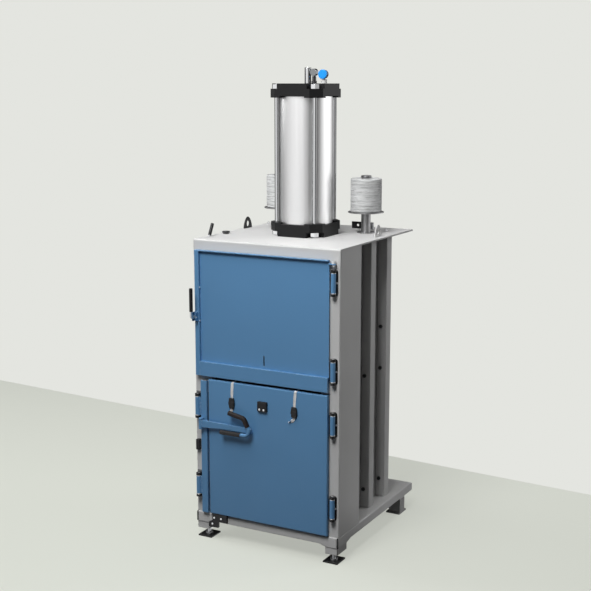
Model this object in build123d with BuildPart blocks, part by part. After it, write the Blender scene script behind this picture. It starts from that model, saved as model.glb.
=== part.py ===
from build123d import *
import math
import os

# Vertical recycling baler driven by an air cylinder on its roof.
# Millimetres, +Z up, the doors face -Y, and the origin is on the floor under the middle.

os.makedirs("parts", exist_ok=True)

# Clearances
seat_gap = 0.2
running_gap = 0.05
door_gap = 2.0

# Cabinet
body_width = 820.0
body_height = 1427.0
bend = 7.0
wall_sheet = 4.0
column_face = 94.0
column_depth = 237.0
column_sheet = 5.0
column_lip = 40.0
chamber_depth = 774.0
post_width = 60.0
post_wall = 4.0
post_setback = 44.0
first_post = 443.0
post_pitch = 195.0
rear_post_depth = 50.0
rear_post_spread = 360.0

# Base tray and feet
base_top = 139.0
base_depth = 931.0
base_lip = 6.0
deck_sheet = 6.0
skirt_sheet = 5.0
skirt_height = 43.0
skirt_drop = 11.0
front_run = 70.0
front_slant = 34.0
side_run = 91.0
side_slant = 51.0
deck_rib_sheet = 8.0
deck_rib_height = 30.0
deck_rib_places = (262.0, 562.0)
seam = 3.5
stub_width = 66.0
front_stub_depth = 105.0
rear_stub_depth = 62.0
stub_wall = 4.0
stub_plate = 8.0
stub_bottom = 48.0
rear_stub_inset = 129.0
rear_plate_inset = 120.0
foot_inset = 45.0
front_foot = 42.0
foot_width = 80.0
foot_depth = 90.0
foot_plate = 8.0
foot_hub_radius = 19.0
foot_hub_height = 8.0
stud_radius = 10.0
foot_nut_width = 30.0
foot_nut_height = 13.0

# Roof
roof_sheet = 8.0
roof_depth = 870.0
roof_lip = 84.0
roof_bend = 10.0
stiffener_height = 60.0
stiffener_sheet = 10.0
stiffener_spread = 350.0

# Doors
door_standoff = 26.0
door_right = 358.0
door_sheet = 4.0
lower_door_bottom = 145.0
lower_door_top = 858.0
door_split = 15.0
upper_door_top = 1514.0
panel_recess = 15.0
strip_left = -392.0
strip_width = 26.0
strip_sheet = 3.0
bar_height = 73.0
lip_sheet = 5.0
liner_depth = 32.0
liner_sheet = 3.0
liner_margin = 8.0
view_slot_width = 7.0
view_slot_height = 50.0
view_slot_bottom = 961.0
lower_door_left = -320.0
back_sheet = 4.0

# Hinges
hinge_x = 382.0
hinge_axis_reach = 16.0
hinge_length = 127.0
hinge_cap = 13.0
hinge_washer = 3.0
barrel_radius = 12.4
pin_radius = 6.0
hinge_sheet = 3.0
leaf_reach = 18.0
leaf_width = 34.0
leaf_corner = 14.0
web_sheet = 6.0
upper_hinge_centres = (1406.0, 976.0)
lower_hinge_centres = (712.0, 290.0)
strip_hinge_x = -385.0
strip_leaf_reach = 17.0

# Lock strip and its lever
lock_left = -366.0
lock_width = 36.0
lock_sheet = 3.0
lever_height = 626.0
lever_pivot_x = -356.0
lever_bar_height = 40.0
lever_bar_sheet = 8.0
lever_end_height = 25.0
lever_standoff = 18.0
lever_pin_radius = 5.0
lever_knuckle_radius = 10.0
lever_ear_sheet = 7.0
tube_radius = 10.0
tube_standoff = 13.0
sleeve_wall = 2.5
grip_wall = 1.5
tube_bend = 26.0
grip_left = -229.0
grip_right = -112.0
grip_height = 602.0
tube_corner_x = -48.0
elbow_x = -92.0
elbow_height = 690.0
tube_end_x = -180.0
tube_end_height = 708.0

# Upper door latch
latch_height = 1176.0
latch_x = -381.0
latch_standoff = 49.0
latch_arm_width = 12.0
latch_arm_sheet = 8.0
latch_grip_radius = 9.0
latch_grip_length = 118.0
latch_grip_rise = 33.0
latch_bracket_height = 46.0
latch_ear_sheet = 3.0
latch_pin_radius = 4.0
latch_pin_standoff = 18.0
latch_ear_reach = 26.0
latch_ear_width = 22.0

# Bands, cleats and the small parts on the lower door
band_x = 178.0
band_width = 14.0
band_thickness = 1.6
cleat_width = 41.0
cleat_height = 53.0
cleat_thickness = 13.0
cleat_drop = 132.0
band_tail = 40.0
box_size = 54.0
box_height = 52.0
box_drop = 127.0
box_thickness = 13.0
sensor_width = 22.0
sensor_height = 56.0
sensor_thickness = 18.0
sensor_left = -403.0
sensor_bottom = 473.0

# Air cylinder
cylinder_depth = 425.0
cap_size = 297.0
cap_chamfer = 50.0
cap_height = 62.0
lug_drop = 8.0
lug_ledge = 26.0
lug_size = 80.0
nut_pocket = 66.0
cylinder_height = 764.0
barrel_outer = 138.0
bore_radius = 130.0
spigot_height = 10.0
rod_spread = 216.0
tie_radius = 11.0
tie_nut_width = 40.0
tie_nut_height = 22.0
ram_radius = 30.0
piston_height = 60.0
piston_rest_gap = 8.0
seal_width = 8.0
seal_depth = 6.0
ram_nut_width = 46.0
ram_nut_height = 22.0
spigot_radius = 15.0
bush_radius = 38.0
wiper_height = 8.0
port_radius = 8.0
port_length = 50.0

# Press platen
platen_gap = 8.0
platen_sheet = 10.0
platen_bottom = 1396.0
rib_height = 50.0
rib_sheet = 8.0
hub_radius = 75.0
hub_height = 84.0
ram_flange_radius = 66.0
ram_flange_height = 14.0
flange_bolt_circle = 48.0

# Twine rolls
spool_x = 250.0
spool_depth = 622.0
spool_tube_radius = 24.5
spool_tube_height = 106.0
spool_disc_radius = 92.5
spool_disc_sheet = 5.0
spindle_radius = 12.0
roll_radius = 82.0
roll_height = 174.0
roll_turns = 9
roll_groove = 1.8
spool_cap_radius = 27.0
spool_cap_height = 12.0


def flat(height):
    """Level plane at a height above the floor, its y counted back from the front."""
    return Plane(origin=(0, front, height))


def facing(depth):
    """Upright plane seen from the front, its y counted up from the floor."""
    return Plane(origin=(0, front + depth, 0), x_dir=(1, 0, 0), z_dir=(0, -1, 0))


def side_on(x):
    """Upright plane seen from the right, its x counted back from the front."""
    return Plane(origin=(x, front, 0), x_dir=(0, 1, 0), z_dir=(1, 0, 0))


# The front is set so that the origin lies midway between latch grip and base rear
base_rear = base_depth - base_lip
latch_reach = door_standoff + latch_standoff + latch_grip_radius
front = -(base_rear - latch_reach) / 2

roof_top = base_top + body_height
roof_under = roof_top - roof_sheet
half_width = body_width / 2
chamber_half = half_width - column_face
post_reach = column_face - post_setback
upper_door_bottom = lower_door_top + door_split
latch_grip_bottom = latch_height + latch_grip_rise
cleat_bottom = lower_door_top - cleat_drop
box_bottom = lower_door_top - box_drop
column_top = roof_top - roof_lip - door_gap / 4
base_middle = base_depth / 2 - base_lip
rear_stub = base_depth - rear_stub_inset
rear_plate = base_depth - rear_plate_inset
foot_x = half_width - foot_inset

# Base: a folded tray with lowered front corners, on two short stubs in front and two legs behind
stub_x = half_width - stub_width / 2 - skirt_sheet
front_stub = front_stub_depth / 2 - base_lip / 2
front_stubs = [(side * stub_x, front_stub) for side in (-1, 1)]
rear_stubs = [(side * stub_x, rear_stub) for side in (-1, 1)]
rear_plates = [(side * foot_x, rear_plate) for side in (-1, 1)]
foot_places = [(side * foot_x, front_foot) for side in (-1, 1)]
skirt_corner = skirt_height + skirt_drop
with BuildPart() as base_frame:
    with BuildSketch(flat(base_top)):
        with Locations((0, base_middle)):
            Rectangle(body_width, base_depth)
    extrude(amount=-skirt_corner)
    fillet(base_frame.edges().group_by(Axis.Z)[-1], bend)
    with BuildSketch(flat(base_top - deck_sheet)):
        with Locations((0, base_middle)):
            Rectangle(body_width - 2 * skirt_sheet, base_depth - 2 * skirt_sheet)
    extrude(amount=-skirt_corner, mode=Mode.SUBTRACT)
    # the long skirts are shallower behind the front corners
    with BuildSketch(side_on(0)):
        with BuildLine():
            Polyline(
                (side_run, base_top - skirt_corner),
                (side_run + side_slant, base_top - skirt_height),
                (base_rear + skirt_sheet, base_top - skirt_height),
                (base_rear + skirt_sheet, base_top - 2 * skirt_corner),
                (side_run, base_top - 2 * skirt_corner),
                close=True,
            )
        make_face()
    extrude(amount=body_width, both=True, mode=Mode.SUBTRACT)
    # the front skirt is shallower between its corners
    with BuildSketch(facing(base_middle)):
        with BuildLine():
            Polyline(
                (-half_width + front_run, base_top - skirt_corner),
                (-half_width + front_run + front_slant, base_top - skirt_height),
                (half_width - front_run - front_slant, base_top - skirt_height),
                (half_width - front_run, base_top - skirt_corner),
                (half_width - front_run, base_top - 2 * skirt_corner),
                (-half_width + front_run, base_top - 2 * skirt_corner),
                close=True,
            )
        make_face()
    extrude(amount=base_depth, both=True, mode=Mode.SUBTRACT)
    # open weld seams at the two front corners
    with BuildSketch(facing(skirt_sheet - base_lip)):
        for side in (-1, 1):
            with Locations((side * (half_width - skirt_sheet - seam / 2), base_top - bend - skirt_corner / 2)):
                Rectangle(seam, skirt_corner)
    extrude(amount=skirt_sheet, mode=Mode.SUBTRACT)
    # cross ribs under the deck
    with BuildSketch(flat(base_top - deck_sheet)):
        with Locations(*[(0, depth) for depth in deck_rib_places]):
            Rectangle(body_width - 2 * skirt_sheet, deck_rib_sheet)
    extrude(amount=-deck_rib_height)
    # front stubs, each closed by a plate with a hole for the foot
    with BuildSketch(flat(stub_bottom)):
        with Locations(*front_stubs):
            Rectangle(stub_width, front_stub_depth)
            Rectangle(stub_width - 2 * stub_wall, front_stub_depth - 2 * stub_wall, mode=Mode.SUBTRACT)
    extrude(amount=base_top - deck_sheet - stub_bottom)
    with BuildSketch(flat(stub_bottom)):
        with Locations(*front_stubs):
            Rectangle(stub_width, front_stub_depth)
        with Locations(*foot_places):
            Circle(stud_radius + seat_gap, mode=Mode.SUBTRACT)
    extrude(amount=stub_plate)
    # the rear legs reach down to plates on the floor
    with BuildSketch(flat(foot_plate)):
        with Locations(*rear_stubs):
            Rectangle(stub_width, rear_stub_depth)
            Rectangle(stub_width - 2 * stub_wall, rear_stub_depth - 2 * stub_wall, mode=Mode.SUBTRACT)
    extrude(amount=base_top - deck_sheet - foot_plate)
    with BuildSketch(flat(0)):
        with Locations(*rear_plates):
            Rectangle(foot_width, foot_depth)
    extrude(amount=foot_plate)
base_frame.part.label = "base_frame"
export_step(base_frame.part, "parts/base_frame.step")

# Levelling feet: square plates, each with a hub and a stud
with BuildPart() as levelling_feet:
    with BuildSketch(flat(0)):
        with Locations(*foot_places):
            Rectangle(foot_width, foot_depth)
    extrude(amount=foot_plate)
    chamfer(levelling_feet.edges().group_by(Axis.Z)[-1], 1.5)
    with BuildSketch(flat(foot_plate)):
        with Locations(*foot_places):
            Circle(foot_hub_radius)
    extrude(amount=foot_hub_height)
    with BuildSketch(flat(foot_plate)):
        with Locations(*foot_places):
            Circle(stud_radius)
    extrude(amount=stub_bottom + stub_plate + foot_nut_height)
levelling_feet.part.label = "levelling_feet"
export_step(levelling_feet.part, "parts/levelling_feet.step")

# Lock nuts under the front stubs
with BuildPart() as foot_nuts:
    with BuildSketch(flat(stub_bottom - foot_nut_height)):
        with Locations(*foot_places):
            RegularPolygon(foot_nut_width / 2, 6, major_radius=False)
            Circle(stud_radius + seat_gap, mode=Mode.SUBTRACT)
    extrude(amount=foot_nut_height)
foot_nuts.part.label = "foot_nuts"
export_step(foot_nuts.part, "parts/foot_nuts.step")

# Side frames: the chamber's wall with two upright box posts welded outside it
post_bolt_heights = (240.0, 851.0)
extra_bolt_height = 1074.0
post_bolt_inset = 20.0
post_bolt_x = chamber_half + post_bolt_inset
second_post = first_post + post_pitch
post_bolts = [(first_post, height) for height in post_bolt_heights]
post_bolts += [(second_post, height) for height in post_bolt_heights + (extra_bolt_height,)]
post_bolt_radius = 6.0
with BuildPart() as side_frame_right:
    with BuildSketch(flat(base_top)):
        with Locations((chamber_half - wall_sheet / 2, chamber_depth / 2)):
            Rectangle(wall_sheet, chamber_depth)
        for depth in (first_post, second_post):
            with Locations((chamber_half + post_reach / 2, depth + post_width / 2)):
                RectangleRounded(post_reach, post_width, bend / 2)
                Rectangle(post_reach - 2 * post_wall, post_width - 2 * post_wall, mode=Mode.SUBTRACT)
    extrude(amount=roof_under - base_top)
    for depth, height in post_bolts:
        with BuildSketch(facing(depth + post_wall)):
            with Locations((post_bolt_x, height)):
                Circle(post_bolt_radius + seat_gap)
        extrude(amount=post_wall, mode=Mode.SUBTRACT)
    # the roof's folded lip passes in front of the wall
    with BuildSketch(flat(column_top)):
        with Locations((chamber_half, 0)):
            Rectangle(column_face, 2 * (roof_bend + seat_gap))
    extrude(amount=roof_lip, mode=Mode.SUBTRACT)
side_frame_right.part.label = "side_frame_right"
export_step(side_frame_right.part, "parts/side_frame_right.step")
side_frame_left = mirror(side_frame_right.part, about=Plane.YZ)
side_frame_left.label = "side_frame_left"
export_step(side_frame_left, "parts/side_frame_left.step")

# Rear frame: the chamber's back wall with two box posts outside it
with BuildPart() as rear_frame:
    with BuildSketch(flat(base_top)):
        with Locations((0, chamber_depth + wall_sheet / 2)):
            Rectangle(2 * chamber_half, wall_sheet)
        for side in (-1, 1):
            with Locations((side * rear_post_spread / 2, chamber_depth + wall_sheet + rear_post_depth / 2)):
                Rectangle(post_width, rear_post_depth)
                Rectangle(post_width - 2 * post_wall, rear_post_depth - 2 * post_wall, mode=Mode.SUBTRACT)
    extrude(amount=roof_under - base_top)
rear_frame.part.label = "rear_frame"
export_step(rear_frame.part, "parts/rear_frame.step")

# Front columns: folded channels whose front web stops under the roof's folded lip
with BuildPart() as front_column_right:
    with BuildSketch(flat(base_top)):
        with BuildLine():
            FilletPolyline(
                (chamber_half, column_lip),
                (chamber_half, 0),
                (half_width, 0),
                (half_width, column_depth),
                (half_width - column_lip, column_depth),
                radius=bend,
            )
            offset(amount=-column_sheet, side=Side.LEFT)
        make_face()
    extrude(amount=roof_under - base_top)
    with BuildSketch(flat(column_top)):
        with Locations((half_width, 0)):
            Rectangle(2 * column_face, 2 * (roof_bend + seat_gap))
    extrude(amount=roof_lip, mode=Mode.SUBTRACT)
front_column_right.part.label = "front_column_right"
export_step(front_column_right.part, "parts/front_column_right.step")
front_column_left = mirror(front_column_right.part, about=Plane.YZ)
front_column_left.label = "front_column_left"
export_step(front_column_left, "parts/front_column_left.step")

# Roof: a thick plate folded down at the front, ribbed below, with the control lever's bracket
lever_slot_inset = 28.5
lever_slot = (lever_slot_inset - half_width, 87.5)
lever_slot_length = 62.0
lever_slot_width = 8.0
lever_ear_gap = 8.0
lever_ear_width = 24.0
lever_ear_drop = 34.0
lever_pivot_drop = 20.0
lever_axle_radius = 4.0
button_inset = 40.0
button_place = (button_inset - half_width, 245.0)
button_stem_radius = 8.0
roof_bolt_insets = (24.0, 94.0)
roof_bolt_places = [(roof_bolt_insets[0] - half_width, 718.0), (half_width - roof_bolt_insets[1], 735.0)]
roof_bolt_radius = 4.0
with BuildPart() as top_plate:
    with BuildSketch(side_on(half_width)):
        with BuildLine():
            FilletPolyline(
                (roof_depth, roof_top),
                (0, roof_top),
                (0, roof_top - roof_lip),
                radius=roof_bend,
            )
            offset(amount=roof_sheet, side=Side.LEFT)
        make_face()
    extrude(amount=-body_width)
    with BuildSketch(flat(roof_under)):
        for side in (-1, 1):
            with Locations((0, cylinder_depth + side * stiffener_spread / 2)):
                Rectangle(2 * (chamber_half - wall_sheet - seat_gap), stiffener_sheet)
    extrude(amount=-stiffener_height)
    # holes for the ram, the lever, the button and the spool and eyelet studs
    with BuildSketch(flat(roof_under)):
        with Locations((0, cylinder_depth)):
            Circle(bush_radius + seat_gap)
        with Locations(lever_slot):
            SlotOverall(lever_slot_length, lever_slot_width, rotation=90)
        with Locations(button_place):
            Circle(button_stem_radius + seat_gap)
        with Locations(*roof_bolt_places):
            Circle(roof_bolt_radius + running_gap)
    extrude(amount=roof_sheet, mode=Mode.SUBTRACT)
    # two ears under the slot carry the control lever's axle
    with BuildSketch(side_on(lever_slot[0])):
        with Locations((lever_slot[1], roof_under - lever_ear_drop / 2)):
            Rectangle(lever_ear_width, lever_ear_drop)
    extrude(amount=lever_ear_gap / 2 + wall_sheet, both=True)
    with BuildSketch(side_on(lever_slot[0])):
        with Locations((lever_slot[1], roof_under - lever_ear_drop / 2)):
            Rectangle(2 * lever_slot_length, lever_ear_drop)
    extrude(amount=lever_ear_gap / 2, both=True, mode=Mode.SUBTRACT)
    with BuildSketch(side_on(lever_slot[0])):
        with Locations((lever_slot[1], roof_under - lever_pivot_drop)):
            Circle(lever_axle_radius)
    extrude(amount=lever_ear_gap / 2, both=True)
top_plate.part.label = "top_plate"
export_step(top_plate.part, "parts/top_plate.step")

# Bottom cap of the cylinder: a block with four nut ledges, a bush bore and a spigot
bottom_cap_top = roof_top + cap_height
cylinder_top = roof_top + cylinder_height
top_cap_bottom = cylinder_top - cap_height
lug_centre = cap_size / 2 - lug_size / 2
pocket_centre = cap_size / 2 - nut_pocket / 2
tie_places = [
    (sx * rod_spread / 2, cylinder_depth + sy * rod_spread / 2) for sx in (-1, 1) for sy in (-1, 1)
]
lug_places = [(sx * lug_centre, cylinder_depth + sy * lug_centre) for sx in (-1, 1) for sy in (-1, 1)]
pocket_places = [
    (sx * pocket_centre, cylinder_depth + sy * pocket_centre) for sx in (-1, 1) for sy in (-1, 1)
]


def cap_outline():
    """Square outline of a cylinder cap with its corners cut off."""
    with BuildSketch(mode=Mode.PRIVATE) as outline:
        Rectangle(cap_size, cap_size)
        chamfer(outline.vertices(), cap_chamfer)
    return outline.sketch


with BuildPart() as cylinder_bottom_cap:
    with BuildSketch(flat(roof_top)):
        with Locations((0, cylinder_depth)):
            add(cap_outline())
    extrude(amount=cap_height + lug_drop)
    # the middle is lower than the lugs, and each lug is cut back below for its nut
    with BuildSketch(flat(bottom_cap_top)):
        with Locations((0, cylinder_depth)):
            Rectangle(cap_size, cap_size)
            with Locations(*[(p[0], p[1] - cylinder_depth) for p in lug_places]):
                Rectangle(lug_size, lug_size, mode=Mode.SUBTRACT)
            Circle(barrel_outer + seat_gap)
    extrude(amount=lug_drop, mode=Mode.SUBTRACT)
    with BuildSketch(flat(roof_top)):
        with Locations(*pocket_places):
            Rectangle(nut_pocket, nut_pocket)
    extrude(amount=lug_ledge, mode=Mode.SUBTRACT)
    with BuildSketch(flat(bottom_cap_top)):
        with Locations((0, cylinder_depth)):
            Circle(bore_radius - seat_gap)
    extrude(amount=spigot_height)
    with BuildSketch(flat(roof_top)):
        with Locations((0, cylinder_depth)):
            Circle(bush_radius + running_gap)
        with Locations(*tie_places):
            Circle(tie_radius + seat_gap)
    extrude(amount=cap_height + spigot_height, mode=Mode.SUBTRACT)
    # air port in the rear face
    with BuildSketch(facing(cylinder_depth + cap_size / 2)):
        with Locations((0, roof_top + cap_height / 2)):
            Circle(port_radius)
    extrude(amount=port_length, mode=Mode.SUBTRACT)
cylinder_bottom_cap.part.label = "cylinder_bottom_cap"
export_step(cylinder_bottom_cap.part, "parts/cylinder_bottom_cap.step")

# Top cap: the same block turned over, with a port for the exhaust tube
tube_place = (12.0, cylinder_depth)
tube_outer = 16.5
elbow_place = (47.5, cylinder_depth)
valve_place = (103.0, cylinder_depth)
thread_radius = 7.0
with BuildPart() as cylinder_top_cap:
    with BuildSketch(flat(cylinder_top)):
        with Locations((0, cylinder_depth)):
            add(cap_outline())
    extrude(amount=-cap_height - lug_drop)
    with BuildSketch(flat(top_cap_bottom)):
        with Locations((0, cylinder_depth)):
            Rectangle(cap_size, cap_size)
            with Locations(*[(p[0], p[1] - cylinder_depth) for p in lug_places]):
                Rectangle(lug_size, lug_size, mode=Mode.SUBTRACT)
            Circle(barrel_outer + seat_gap)
    extrude(amount=-lug_drop, mode=Mode.SUBTRACT)
    with BuildSketch(flat(cylinder_top)):
        with Locations(*pocket_places):
            Rectangle(nut_pocket, nut_pocket)
    extrude(amount=-lug_ledge, mode=Mode.SUBTRACT)
    with BuildSketch(flat(top_cap_bottom)):
        with Locations((0, cylinder_depth)):
            Circle(bore_radius - seat_gap)
    extrude(amount=-spigot_height)
    with BuildSketch(flat(cylinder_top)):
        with Locations(*tie_places):
            Circle(tie_radius + seat_gap)
        with Locations(tube_place, elbow_place, valve_place):
            Circle(thread_radius + running_gap)
    extrude(amount=-cap_height - spigot_height, mode=Mode.SUBTRACT)
    with BuildSketch(facing(cylinder_depth + cap_size / 2)):
        with Locations((0, cylinder_top - cap_height / 2)):
            Circle(port_radius)
    extrude(amount=port_length, mode=Mode.SUBTRACT)
cylinder_top_cap.part.label = "cylinder_top_cap"
export_step(cylinder_top_cap.part, "parts/cylinder_top_cap.step")

# Barrel, held between the caps and their gaskets
gasket = 1.5
with BuildPart() as cylinder_barrel:
    with BuildSketch(flat(bottom_cap_top + gasket)):
        with Locations((0, cylinder_depth)):
            Circle(barrel_outer)
            Circle(bore_radius, mode=Mode.SUBTRACT)
    extrude(amount=top_cap_bottom - bottom_cap_top - 2 * gasket)
cylinder_barrel.part.label = "cylinder_barrel"
export_step(cylinder_barrel.part, "parts/cylinder_barrel.step")

# Seals: a gasket at each end of the barrel, and the wiper ring under the bush
with BuildPart() as cylinder_seals:
    for height in (bottom_cap_top, top_cap_bottom - gasket):
        with BuildSketch(flat(height)):
            with Locations((0, cylinder_depth)):
                Circle(barrel_outer - seat_gap)
                Circle(bore_radius, mode=Mode.SUBTRACT)
        extrude(amount=gasket)
    with BuildSketch(flat(roof_top - wiper_height)):
        with Locations((0, cylinder_depth)):
            Circle(bush_radius)
            Circle(ram_radius + running_gap, mode=Mode.SUBTRACT)
    extrude(amount=wiper_height)
cylinder_seals.part.label = "cylinder_seals"
export_step(cylinder_seals.part, "parts/cylinder_seals.step")

# Bush that guides the ram through the bottom cap
with BuildPart() as ram_bush:
    with BuildSketch(flat(roof_top)):
        with Locations((0, cylinder_depth)):
            Circle(bush_radius)
            Circle(ram_radius + running_gap, mode=Mode.SUBTRACT)
    extrude(amount=cap_height + spigot_height)
ram_bush.part.label = "ram_bush"
export_step(ram_bush.part, "parts/ram_bush.step")

# Tie rods and their nuts, on the caps' ledges
lower_ledge = roof_top + lug_ledge
upper_ledge = cylinder_top - lug_ledge
tie_overrun = 2.0
with BuildPart() as tie_rods:
    with BuildSketch(flat(lower_ledge - tie_nut_height - tie_overrun)):
        with Locations(*tie_places):
            Circle(tie_radius)
    extrude(amount=upper_ledge - lower_ledge + 2 * (tie_nut_height + tie_overrun))
tie_rods.part.label = "tie_rods"
export_step(tie_rods.part, "parts/tie_rods.step")

with BuildPart() as tie_rod_nuts:
    for height in (lower_ledge - tie_nut_height, upper_ledge):
        with BuildSketch(flat(height)):
            with Locations(*tie_places):
                RegularPolygon(tie_nut_width / 2, 6, major_radius=False)
                Circle(tie_radius + seat_gap, mode=Mode.SUBTRACT)
        extrude(amount=tie_nut_height)
tie_rod_nuts.part.label = "tie_rod_nuts"
export_step(tie_rod_nuts.part, "parts/tie_rod_nuts.step")

# Piston with two seal grooves and a pocket for the ram's nut
piston_bottom = top_cap_bottom - spigot_height - piston_rest_gap - piston_height
piston_top = piston_bottom + piston_height
seal_heights = (piston_bottom + piston_height / 4, piston_top - piston_height / 4)
piston_radius = bore_radius - running_gap
with BuildPart() as piston:
    with BuildSketch(flat(piston_bottom)):
        with Locations((0, cylinder_depth)):
            Circle(piston_radius)
            Circle(spigot_radius + seat_gap, mode=Mode.SUBTRACT)
    extrude(amount=piston_height)
    for height in seal_heights:
        with BuildSketch(flat(height - seal_width / 2)):
            with Locations((0, cylinder_depth)):
                Circle(bore_radius)
                Circle(piston_radius - seal_depth, mode=Mode.SUBTRACT)
        extrude(amount=seal_width, mode=Mode.SUBTRACT)
    with BuildSketch(flat(piston_top - ram_nut_height)):
        with Locations((0, cylinder_depth)):
            Circle(0.65 * ram_nut_width)
    extrude(amount=ram_nut_height, mode=Mode.SUBTRACT)
piston.part.label = "piston"
export_step(piston.part, "parts/piston.step")

with BuildPart() as piston_seals:
    for height in seal_heights:
        with BuildSketch(flat(height - seal_width / 2)):
            with Locations((0, cylinder_depth)):
                Circle(piston_radius)
                Circle(piston_radius - seal_depth, mode=Mode.SUBTRACT)
        extrude(amount=seal_width)
piston_seals.part.label = "piston_seals"
export_step(piston_seals.part, "parts/piston_seals.step")

# Ram: a rod with a flange at its foot and a threaded spigot through the piston
hub_top = platen_bottom + platen_sheet + hub_height
flange_places = [(flange_bolt_circle * sx, cylinder_depth + flange_bolt_circle * sy)
               for sx, sy in ((1, 0), (-1, 0), (0, 1), (0, -1))]
flange_bolt_radius = 5.0
with BuildPart() as piston_rod:
    with BuildSketch(flat(hub_top)):
        with Locations((0, cylinder_depth)):
            Circle(ram_flange_radius)
        with Locations(*flange_places):
            Circle(flange_bolt_radius + seat_gap, mode=Mode.SUBTRACT)
    extrude(amount=ram_flange_height)
    with BuildSketch(flat(hub_top)):
        with Locations((0, cylinder_depth)):
            Circle(ram_radius)
    extrude(amount=piston_bottom - hub_top)
    with BuildSketch(flat(piston_bottom)):
        with Locations((0, cylinder_depth)):
            Circle(spigot_radius)
    extrude(amount=piston_height)
piston_rod.part.label = "piston_rod"
export_step(piston_rod.part, "parts/piston_rod.step")

# Platen: a press plate with twine slots, welded ribs and a round hub under the ram
platen_front = liner_depth + 2 * platen_gap
platen_rear = chamber_depth - platen_gap
platen_depth = platen_rear - platen_front
platen_middle = (platen_front + platen_rear) / 2
platen_width = 2 * (chamber_half - wall_sheet - platen_gap)
twine_slot_width = 24.0
with BuildPart() as platen:
    with BuildSketch(flat(platen_bottom)):
        with Locations((0, platen_middle)):
            Rectangle(platen_width, platen_depth)
        for side in (-1, 1):
            with Locations((side * band_x, platen_front)):
                Rectangle(twine_slot_width, 1.5 * platen_depth, mode=Mode.SUBTRACT)
    extrude(amount=platen_sheet)
    with BuildSketch(flat(platen_bottom + platen_sheet)):
        for side in (-1, 1):
            with Locations((side * (band_x - twine_slot_width), platen_middle)):
                Rectangle(rib_sheet, platen_depth)
            with Locations((side * (band_x + twine_slot_width), platen_middle)):
                Rectangle(rib_sheet, platen_depth)
        with Locations((0, cylinder_depth)):
            Rectangle(2 * (band_x - twine_slot_width), rib_sheet)
        with Locations((0, platen_rear - rib_sheet / 2), (0, platen_front + rib_sheet / 2)):
            Rectangle(2 * (band_x - twine_slot_width), rib_sheet)
    extrude(amount=rib_height)
    with BuildSketch(flat(platen_bottom + platen_sheet)):
        with Locations((0, cylinder_depth)):
            Circle(hub_radius)
    extrude(amount=hub_height)
    with BuildSketch(flat(hub_top)):
        with Locations(*flange_places):
            Circle(flange_bolt_radius + seat_gap)
    extrude(amount=-3 * flange_bolt_radius, mode=Mode.SUBTRACT)
platen.part.label = "platen"
export_step(platen.part, "parts/platen.step")

# The ram's nut in the piston and the bolts through its flange
flange_top = hub_top + ram_flange_height
with BuildPart() as ram_fasteners:
    with BuildSketch(flat(piston_top - ram_nut_height)):
        with Locations((0, cylinder_depth)):
            RegularPolygon(ram_nut_width / 2, 6, major_radius=False)
            Circle(spigot_radius + seat_gap, mode=Mode.SUBTRACT)
    extrude(amount=ram_nut_height - 1)
    with BuildSketch(flat(flange_top)):
        with Locations(*flange_places):
            RegularPolygon(1.6 * flange_bolt_radius, 6, major_radius=False)
    extrude(amount=1.2 * flange_bolt_radius)
    with BuildSketch(flat(flange_top)):
        with Locations(*flange_places):
            Circle(flange_bolt_radius)
    extrude(amount=-ram_flange_height - 2.6 * flange_bolt_radius)
ram_fasteners.part.label = "ram_fasteners"
export_step(ram_fasteners.part, "parts/ram_fasteners.step")

# Chromed exhaust tube screwed into the top cap
tube_height = 79.0
with BuildPart() as exhaust_tube:
    with BuildSketch(flat(cylinder_top)):
        with Locations(tube_place):
            Circle(tube_outer)
    extrude(amount=tube_height)
    fillet(exhaust_tube.edges().group_by(Axis.Z)[-1], 2)
    with BuildSketch(flat(cylinder_top + tube_height)):
        with Locations(tube_place):
            Circle(tube_outer - 4)
    extrude(amount=-tube_height / 3, mode=Mode.SUBTRACT)
    with BuildSketch(flat(cylinder_top)):
        with Locations(tube_place):
            Circle(thread_radius)
    extrude(amount=-cap_height / 3)
exhaust_tube.part.label = "exhaust_tube"
export_step(exhaust_tube.part, "parts/exhaust_tube.step")

# Air fitting: a hexagon foot, a ribbed neck and a round body lying across it
fitting_hex = 26.0
neck_radius = 9.0
neck_pitch = 5.0
neck_ribs = 4
fitting_drum_radius = 18.0
fitting_drum_length = 24.0
fitting_height = 55.0
with BuildPart() as air_fitting:
    with BuildSketch(flat(cylinder_top)):
        with Locations(elbow_place):
            RegularPolygon(fitting_hex / 2, 6, major_radius=False)
    extrude(amount=fitting_hex / 2)
    with BuildSketch(flat(cylinder_top)):
        with Locations(elbow_place):
            Circle(neck_radius)
    extrude(amount=fitting_height)
    # round ribs on the neck
    for rib in range(neck_ribs):
        with BuildSketch(flat(cylinder_top + fitting_hex / 2 + neck_pitch * (rib + 0.5))):
            with Locations(elbow_place):
                Circle(neck_radius + neck_pitch / 2)
        extrude(amount=neck_pitch / 2)
    with BuildSketch(facing(elbow_place[1] + fitting_drum_length / 2)):
        with Locations((elbow_place[0], cylinder_top + fitting_height)):
            Circle(fitting_drum_radius)
    extrude(amount=fitting_drum_length)
    with BuildSketch(flat(cylinder_top)):
        with Locations(elbow_place):
            Circle(thread_radius)
    extrude(amount=-cap_height / 3)
air_fitting.part.label = "air_fitting"
export_step(air_fitting.part, "parts/air_fitting.step")

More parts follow.
